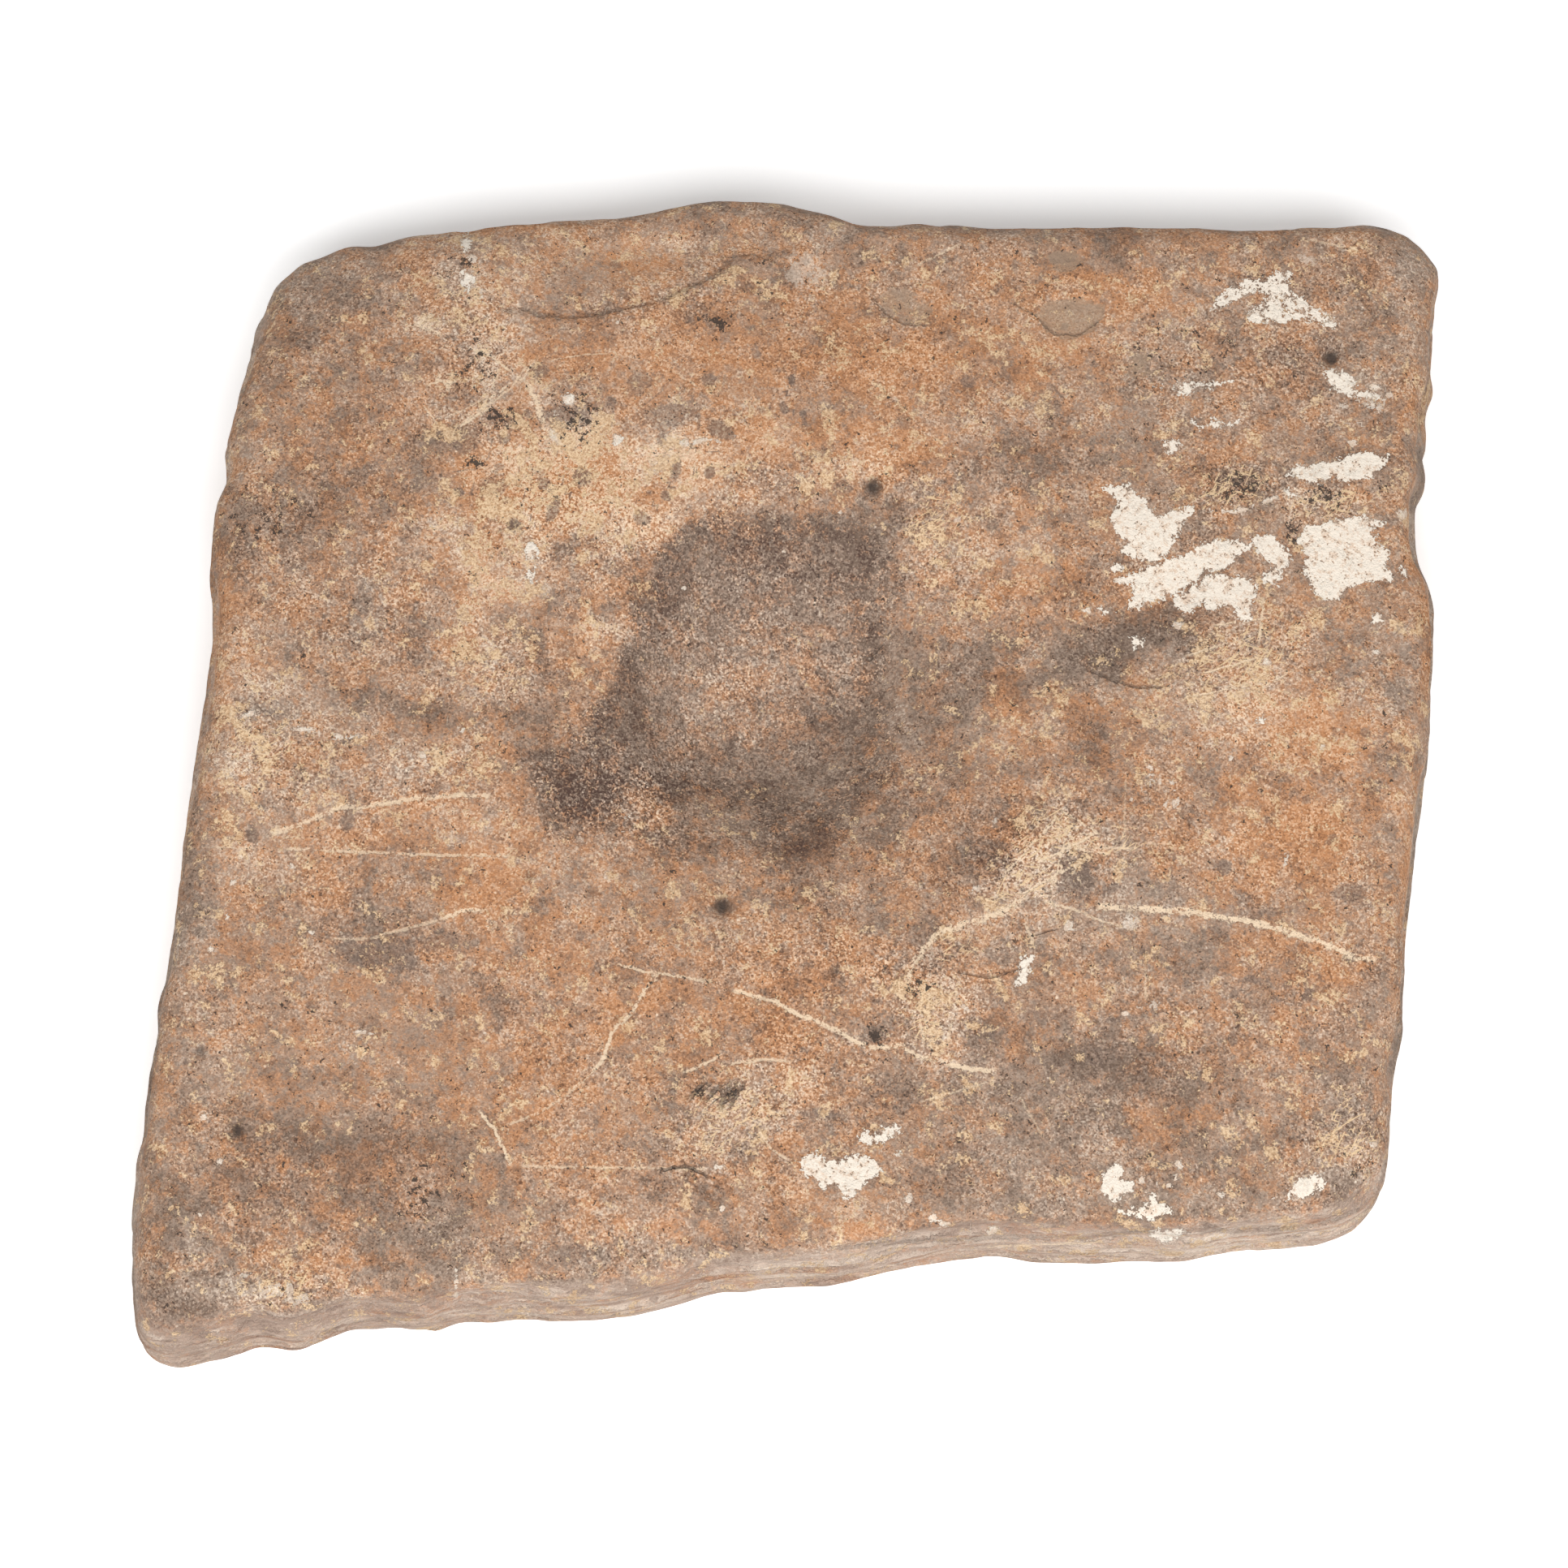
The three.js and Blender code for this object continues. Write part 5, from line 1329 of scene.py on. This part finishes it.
def skin_colour(nodes, stained, colours):
    """The bare stone: a cold and a warm skin of one tone, mixed by how warm each place is."""
    plus, times, step, marks = nodes.plus, nodes.times, nodes.step, nodes.marks
    vivid = plus(0.75, times(marks["busy"], 0.5))
    plain = plus(1, times(marks["side"], plus(-0.3, times(marks["seen"], -0.35))))

    # Crisp patches of darker, rustier and straw-coloured skin, more of them where the marks say so
    dark = nodes.cloud(nodes.moved(1.3, 2.9, 0.4), DARK_WAVE, 7, 0.77)
    dark = plus(dark, times(marks["tone"], -3.5), times(nodes.rough, 0.25))
    dark = times(step(dark, 0.12, 0.4), vivid)
    rust = nodes.cloud(nodes.moved(2.2, 0.6, 1.9), RUST_WAVE, 7, 0.78)
    rust = plus(rust, times(marks["warmth"], 1.6), times(nodes.rough, 0.25))
    rust = step(rust, -0.04, 0.26)
    straw = plus(nodes.straw, times(marks["tone"], 3), times(marks["busy"], 0.1))
    straw = times(step(straw, 0.46, 0.6), vivid)

    # Pores, and a few pale specks, each in a cell of its own
    distance, red, green, blue = nodes.cells(HOLE_CELL)
    distance = plus(distance, times(nodes.grain, 0.1))
    pores = nodes.rest(step(plus(distance, times(red, -0.12)), 0.1, 0.2))
    pores = times(pores, step(green, 0.5, 0.7), plain)
    specks = times(nodes.rest(step(distance, 0.1, 0.22)), step(blue, 0.93, 0.95), marks["seen"])

    # How light the skin is, from 0 to 1, with the painted shade of the tone marks in it
    tone = plus(
        0.56,
        times(marks["tone"], 0.72),
        times(nodes.mottle, 0.07),
        times(nodes.sifted, plain, plus(times(nodes.patchy, 0.2), times(marks["busy"], 0.28), 0.19)),
        times(nodes.grain, plain, plus(times(nodes.patchy, 0.08), times(marks["busy"], 0.12), 0.03)),
        times(pores, -0.2),
        times(specks, 0.35),
        times(dark, -0.13),
        times(straw, plain, plus(0.18, times(stained, -0.12))),
        times(marks["side"], 0.05),
        times(marks["side"], nodes.beds, plus(0.04, times(nodes.patchy, 0.08), times(marks["seen"], 0.12))),
        times(stained, plus(-0.17, times(step(marks["stain"], 6, 2), -0.07))),
        # Painted shade: the foot and the base are darker
        times(marks["below"], -0.08),
    )

    # How warm it is, from 0 to 1
    wall_warmth = plus(-0.22, times(marks["seen"], plus(-0.14, times(nodes.beds, -0.25))))
    warmth = plus(
        0.415,
        marks["warmth"],
        times(nodes.mottle, 0.1),
        times(nodes.warm_sand, plain, 0.03),
        times(nodes.uneven, 0.2),
        times(rust, 0.25),
        times(dark, -0.14),
        times(straw, 0.07),
        times(marks["side"], wall_warmth),
        times(stained, -0.28),
    )
    cold = nodes.skin(tone, (colours.cold_deep, colours.cold_dark, colours.cold_light, colours.cold_pale))
    warm = nodes.skin(tone, (colours.warm_deep, colours.warm_dark, colours.warm_light, colours.warm_pale))
    return nodes.mix(step(warmth, 0, 1), cold, warm)


def spot_share(nodes):
    """Round grey spots, those of the photograph and smaller ones scattered by cells."""
    plus, times, step = nodes.plus, nodes.times, nodes.step
    distance, red, green, _ = nodes.cells(SPOT_CELL)
    distance = plus(distance, times(nodes.ragged, 0.05), times(red, 0.25))
    scattered = times(nodes.rest(step(distance, 0.16, 0.24)), step(green, 0.3, 0.7))
    placed = plus(nodes.spot_reach("grey"), times(nodes.ragged, 0.7), times(nodes.rough, 0.8))
    placed = nodes.rest(step(placed, 0.5, 1.3))
    return nodes.most(times(scattered, 0.65), times(placed, nodes.marks["grey"]))


def hatch_share(nodes):
    """Fine cream threads in three directions, where the network marks are."""
    plus, times = nodes.plus, nodes.times
    hatched = plus(nodes.marks["network"], times(nodes.ragged, 0.3), times(nodes.uneven, 0.3))
    threads = nodes.most(*(nodes.threads(degrees) for degrees in THREAD_TURNS))
    return times(threads, nodes.step(hatched, 0.3, 0.6))


def lime_share(nodes):
    """White lime: the solid and laced patches, with gaps where grains have broken out, and small flecks."""
    plus, times, step = nodes.plus, nodes.times, nodes.step
    lime = plus(nodes.marks["lime"], times(nodes.uneven, 1.3), times(nodes.grain, 0.7))
    kept = step(plus(nodes.grain, times(nodes.uneven, 0.6)), -1.15, -0.85)
    white = plus(nodes.spot_reach("white"), times(nodes.uneven, 1.4), times(nodes.grain, 0.8))
    white = nodes.rest(step(white, 0.4, 0.9))
    return nodes.most(times(step(lime, -0.1, 0.2), kept), times(white, nodes.marks["white"]))


def stone_material(colours):
    """Weathered sandstone: its skin, and spots, scars, crust, scratches, flecks, cracks, painted shade in
    pits and along steps, and lime over it in turn.
    """
    material = bpy.data.materials.new("weathered sandstone")
    material.use_nodes = True
    tree = material.node_tree
    shader = tree.nodes["Principled BSDF"]
    nodes = StoneNodes(tree)
    plus, times, most, step, mix = nodes.plus, nodes.times, nodes.most, nodes.step, nodes.mix
    ragged, uneven, grain, rough, marks = nodes.ragged, nodes.uneven, nodes.grain, nodes.rough, nodes.marks

    stained = stain_share(nodes)
    colour = skin_colour(nodes, stained, colours)
    light_grains = step(rough, -0.25, 0.25)
    spot_colour = mix(light_grains, opaque(colours.spot_dark), opaque(colours.spot))
    colour = mix(times(spot_share(nodes), 0.85), colour, spot_colour)
    scar = times(step(plus(marks["flake"], times(ragged, 0.35), times(uneven, 0.2)), 0.3, 0.6), 0.65)
    colour = mix(scar, colour, opaque(colours.flake))
    colour = mix(times(marks["side"], marks["seen"], 0.2), colour, opaque(colours.wall))
    crust = crust_share(nodes, stained)
    crust_colour = mix(light_grains, opaque(colours.crust_dark), opaque(colours.crust))
    colour = mix(times(crust, 0.72), colour, crust_colour)
    colour = mix(times(hatch_share(nodes), 0.85), colour, opaque(colours.crust))

    scratch = most(nodes.line("scratch", 0.85, 0.65, 1.2), nodes.line("cross", 0.85, 0.65, 1.2))
    worn = times(scratch, step(plus(ragged, grain), -1.0, -0.2))
    colour = mix(times(worn, 0.9), colour, opaque(colours.scratch))
    # Dark lines of cracks, and of painted shadow at the flake scars' steps and along the front edge
    crack = nodes.line("crack", 0.7, 0.4, 1.3)
    fleck = plus(uneven, times(grain, 0.6), times(marks["fleck"], 1.15), times(marks["side"], -1))
    fleck = step(fleck, 0.95, 1.1)
    # Painted shade in the pits, by their depth, and along the painted step lines, with cracks and the stone's
    # own black flecks
    dark = most(times(crack, 0.4), times(marks["pit"], 0.95), times(fleck, 0.95))
    colour = mix(dark, colour, opaque(colours.fleck))
    lime = lime_share(nodes)
    lime_colour = mix(step(plus(uneven, rough), -0.8, 0.2), opaque(colours.lime_dark), opaque(colours.lime))
    colour = mix(times(lime, 0.95), colour, lime_colour)
    tree.links.new(colour, shader.inputs["Base Color"])

    # Only the finest relief is left to bump: the rest is in the mesh
    height = plus(
        times(grain, 0.1),
        times(ragged, 0.12),
        times(lime, 0.35),
        times(crust, 0.12),
        times(scratch, -0.15),
        times(crack, -0.5),
        times(marks["side"], nodes.beds, 0.4),
    )
    bump = add(tree, "ShaderNodeBump", {"Height": height, "Distance": MM, "Strength": 1.0})
    tree.links.new(bump.outputs["Normal"], shader.inputs["Normal"])
    roughness = {"Value": stained, "To Min": BARE_ROUGHNESS, "To Max": STAINED_ROUGHNESS}
    tree.links.new(add(tree, "ShaderNodeMapRange", roughness).outputs["Result"], shader.inputs["Roughness"])
    shader.inputs["Specular IOR Level"].default_value = SHINE
    return material


class StoneSizes(bpy.types.PropertyGroup):
    """The stone's sizes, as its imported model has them"""
    length: FloatProperty(name="Length", description="Longer side", default=CAD_SIZE[0], unit="LENGTH")
    breadth: FloatProperty(name="Breadth", description="Shorter side", default=CAD_SIZE[1], unit="LENGTH")
    thickness: FloatProperty(name="Thickness", description="Height", default=CAD_SIZE[2], unit="LENGTH")
    dish_depth: FloatProperty(name="Dish depth", description="Depth of the wide hollow",
        default=11 * MM, unit="LENGTH")
    cup_depth: FloatProperty(name="Cup depth", description="Further depth of the inner hollow",
        default=9 * MM, unit="LENGTH")
    arris: FloatProperty(name="Arris", description="Width of the worn upper edge",
        default=12 * MM, unit="LENGTH")
    arris_drop: FloatProperty(name="Arris drop", description="Height of the worn upper edge",
        default=14 * MM, unit="LENGTH")
    foot: FloatProperty(name="Foot", description="Radius of the lower edge", default=9 * MM, unit="LENGTH")
    bulge: FloatProperty(name="Bulge", description="Swell of the sides", default=2.5 * MM, unit="LENGTH")
    bed_relief: FloatProperty(name="Beds", description="Depth of the soft beds",
        default=2.4 * MM, unit="LENGTH")
    columns: IntProperty(name="Columns", description="Cells along the length", default=262)
    rows: IntProperty(name="Rows", description="Cells along the breadth", default=240)


def paint(red, green, blue):
    """A screen colour, counted from 0 to 255, as the linear colour that a shader takes."""
    return tuple(((share + 0.055) / 1.055) ** 2.4 for share in (red / 255, green / 255, blue / 255))


class StoneColours(bpy.types.PropertyGroup):
    """The colours of the stone's skins and of what lies on them"""
    cold_deep: FloatVectorProperty(name="Grey, deepest", description="Grey skin in its darkest places",
        subtype="COLOR", default=paint(88, 66, 57))
    cold_dark: FloatVectorProperty(name="Grey, dark", description="Grey skin in dark places",
        subtype="COLOR", default=paint(130, 110, 95))
    cold_light: FloatVectorProperty(name="Grey, light", description="Grey skin in light places",
        subtype="COLOR", default=paint(177, 155, 138))
    cold_pale: FloatVectorProperty(name="Grey, palest", description="Grey skin in its palest places",
        subtype="COLOR", default=paint(246, 229, 210))
    warm_deep: FloatVectorProperty(name="Rust, deepest", description="Rusty skin in its darkest places",
        subtype="COLOR", default=paint(92, 64, 49))
    warm_dark: FloatVectorProperty(name="Rust, dark", description="Rusty skin in dark places",
        subtype="COLOR", default=paint(150, 104, 72))
    warm_light: FloatVectorProperty(name="Rust, light", description="Rusty skin in light places",
        subtype="COLOR", default=paint(207, 147, 102))
    warm_pale: FloatVectorProperty(name="Rust, palest", description="Rusty skin in its palest places",
        subtype="COLOR", default=paint(255, 223, 190))
    crust: FloatVectorProperty(name="Crust", description="Cream crust",
        subtype="COLOR", default=paint(241, 209, 167))
    crust_dark: FloatVectorProperty(name="Crust, dark", description="Cream crust between its grains",
        subtype="COLOR", default=paint(200, 160, 120))
    spot: FloatVectorProperty(name="Spots", description="Round grey spots",
        subtype="COLOR", default=paint(148, 129, 115))
    spot_dark: FloatVectorProperty(name="Spots, dark", description="Round grey spots between their grains",
        subtype="COLOR", default=paint(113, 95, 85))
    flake: FloatVectorProperty(name="Flake scars", description="Grey floor of a flake scar",
        subtype="COLOR", default=paint(168, 143, 121))
    wall: FloatVectorProperty(name="Front side", description="Pale pinkish skin of the front side",
        subtype="COLOR", default=paint(224, 188, 172))
    scratch: FloatVectorProperty(name="Scratches", description="Pale floor of a scratch",
        subtype="COLOR", default=paint(250, 224, 192))
    # This dark also paints the shade in pits and the shadow at steps, besides flecks and cracks
    fleck: FloatVectorProperty(name="Flecks", description="Black flecks, pits and cracks",
        subtype="COLOR", default=paint(72, 62, 56))
    lime: FloatVectorProperty(name="Lime", description="White lime",
        subtype="COLOR", default=paint(255, 243, 227))
    lime_dark: FloatVectorProperty(name="Lime, dark", description="White lime where it is thin",
        subtype="COLOR", default=paint(238, 213, 190))


class STONE_OT_block(bpy.types.Operator):
    """Build the stone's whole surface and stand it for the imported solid"""
    bl_idname = "stone.block"
    bl_label = "Make the stone"

    def execute(self, context):
        sizes = context.scene.stone_sizes
        points, quads, fan, side, below, seen = stone_surface(sizes)
        stone = make_mesh("stone_block", points, quads, fan)
        for name, values in surface_marks(points, side, below, seen).items():
            add_attribute(stone.data, name, values)
        stone.data.materials.append(stone_material(context.scene.stone_colours))
        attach(stone, "root")
        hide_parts(NODE)
        return {"FINISHED"}


class STONE_OT_stage(bpy.types.Operator):
    """Set the camera, the pale floor and the soft lights"""
    bl_idname = "stone.stage"
    bl_label = "Set the stage"

    def execute(self, context):
        scene = context.scene
        camera_data = bpy.data.cameras.new("camera")
        camera_data.lens = CAMERA_LENS
        camera_data.sensor_width = CAMERA_SENSOR
        camera = bpy.data.objects.new("camera", camera_data)
        scene.collection.objects.link(camera)
        tilt = math.radians(CAMERA_ELEVATION)
        camera.location = CAMERA_AIM + CAMERA_DISTANCE * np.array([0, -math.cos(tilt), math.sin(tilt)])
        camera.rotation_euler = (math.radians(90 - CAMERA_ELEVATION), 0, 0)
        scene.camera = camera

        floor_mesh = bpy.data.meshes.new("floor")
        corners = [(x * FLOOR_HALF, y * FLOOR_HALF, 0) for x, y in ((-1, -1), (1, -1), (1, 1), (-1, 1))]
        floor_mesh.from_pydata(corners, [], [(0, 1, 2, 3)])
        floor = bpy.data.objects.new("floor", floor_mesh)
        scene.collection.objects.link(floor)
        floor_material = bpy.data.materials.new("floor")
        floor_material.use_nodes = True
        nodes, links = floor_material.node_tree.nodes, floor_material.node_tree.links
        nodes.clear()
        output = nodes.new("ShaderNodeOutputMaterial")
        diffuse = nodes.new("ShaderNodeBsdfDiffuse")
        path = nodes.new("ShaderNodeLightPath")
        pick = nodes.new("ShaderNodeMix")
        pick.data_type = "RGBA"
        pick.inputs["A"].default_value = FLOOR_LIT
        pick.inputs["B"].default_value = FLOOR_SEEN
        rays = (path.outputs[f"Is {kind} Ray"] for kind in ("Camera", "Glossy", "Transmission"))
        seen = maths(floor_material.node_tree, "MAXIMUM", *rays)
        links.new(seen, pick.inputs["Factor"])
        links.new(pick.outputs["Result"], diffuse.inputs["Color"])
        links.new(diffuse.outputs["BSDF"], output.inputs["Surface"])
        floor_mesh.materials.append(floor_material)
        floor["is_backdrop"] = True

        world = bpy.data.worlds.new("studio")
        scene.world = world
        world.use_nodes = True
        world.node_tree.nodes["Background"].inputs["Color"].default_value = (1, 1, 1, 1)
        world.node_tree.nodes["Background"].inputs["Strength"].default_value = WORLD_LIGHT
        lamp_data = bpy.data.lights.new("softbox", "AREA")
        lamp_data.shape = "RECTANGLE"
        lamp_data.size = LAMP_LENGTH
        lamp_data.size_y = LAMP_BREADTH
        lamp_data.energy = LAMP_POWER
        lamp = bpy.data.objects.new("softbox", lamp_data)
        lamp.location = LAMP_PLACE
        scene.collection.objects.link(lamp)
        lamp.rotation_euler = [math.radians(degrees) for degrees in LAMP_TURNS]
        scene.view_settings.view_transform = "Standard"
        return {"FINISHED"}


class STONE_PT_panel(bpy.types.Panel):
    """The stone's sizes and the steps that build it"""
    bl_label = "Grinding stone"
    bl_idname = "STONE_PT_panel"
    bl_space_type = "VIEW_3D"
    bl_region_type = "UI"
    bl_category = "Stone"

    def draw(self, context):
        for name in StoneSizes.__annotations__:
            self.layout.prop(context.scene.stone_sizes, name)
        for name in StoneColours.__annotations__:
            self.layout.prop(context.scene.stone_colours, name)
        for step in (STONE_OT_block, STONE_OT_stage):
            self.layout.operator(step.bl_idname)


CLASSES = (StoneSizes, StoneColours, STONE_OT_block, STONE_OT_stage, STONE_PT_panel)


def register():
    for item in CLASSES:
        bpy.utils.register_class(item)
    bpy.types.Scene.stone_sizes = PointerProperty(type=StoneSizes)
    bpy.types.Scene.stone_colours = PointerProperty(type=StoneColours)


def unregister():
    del bpy.types.Scene.stone_sizes
    del bpy.types.Scene.stone_colours
    for item in reversed(CLASSES):
        bpy.utils.unregister_class(item)


def main():
    register()
    bpy.ops.stone.block()
    bpy.ops.stone.stage()


if __name__ == "__main__":
    main()
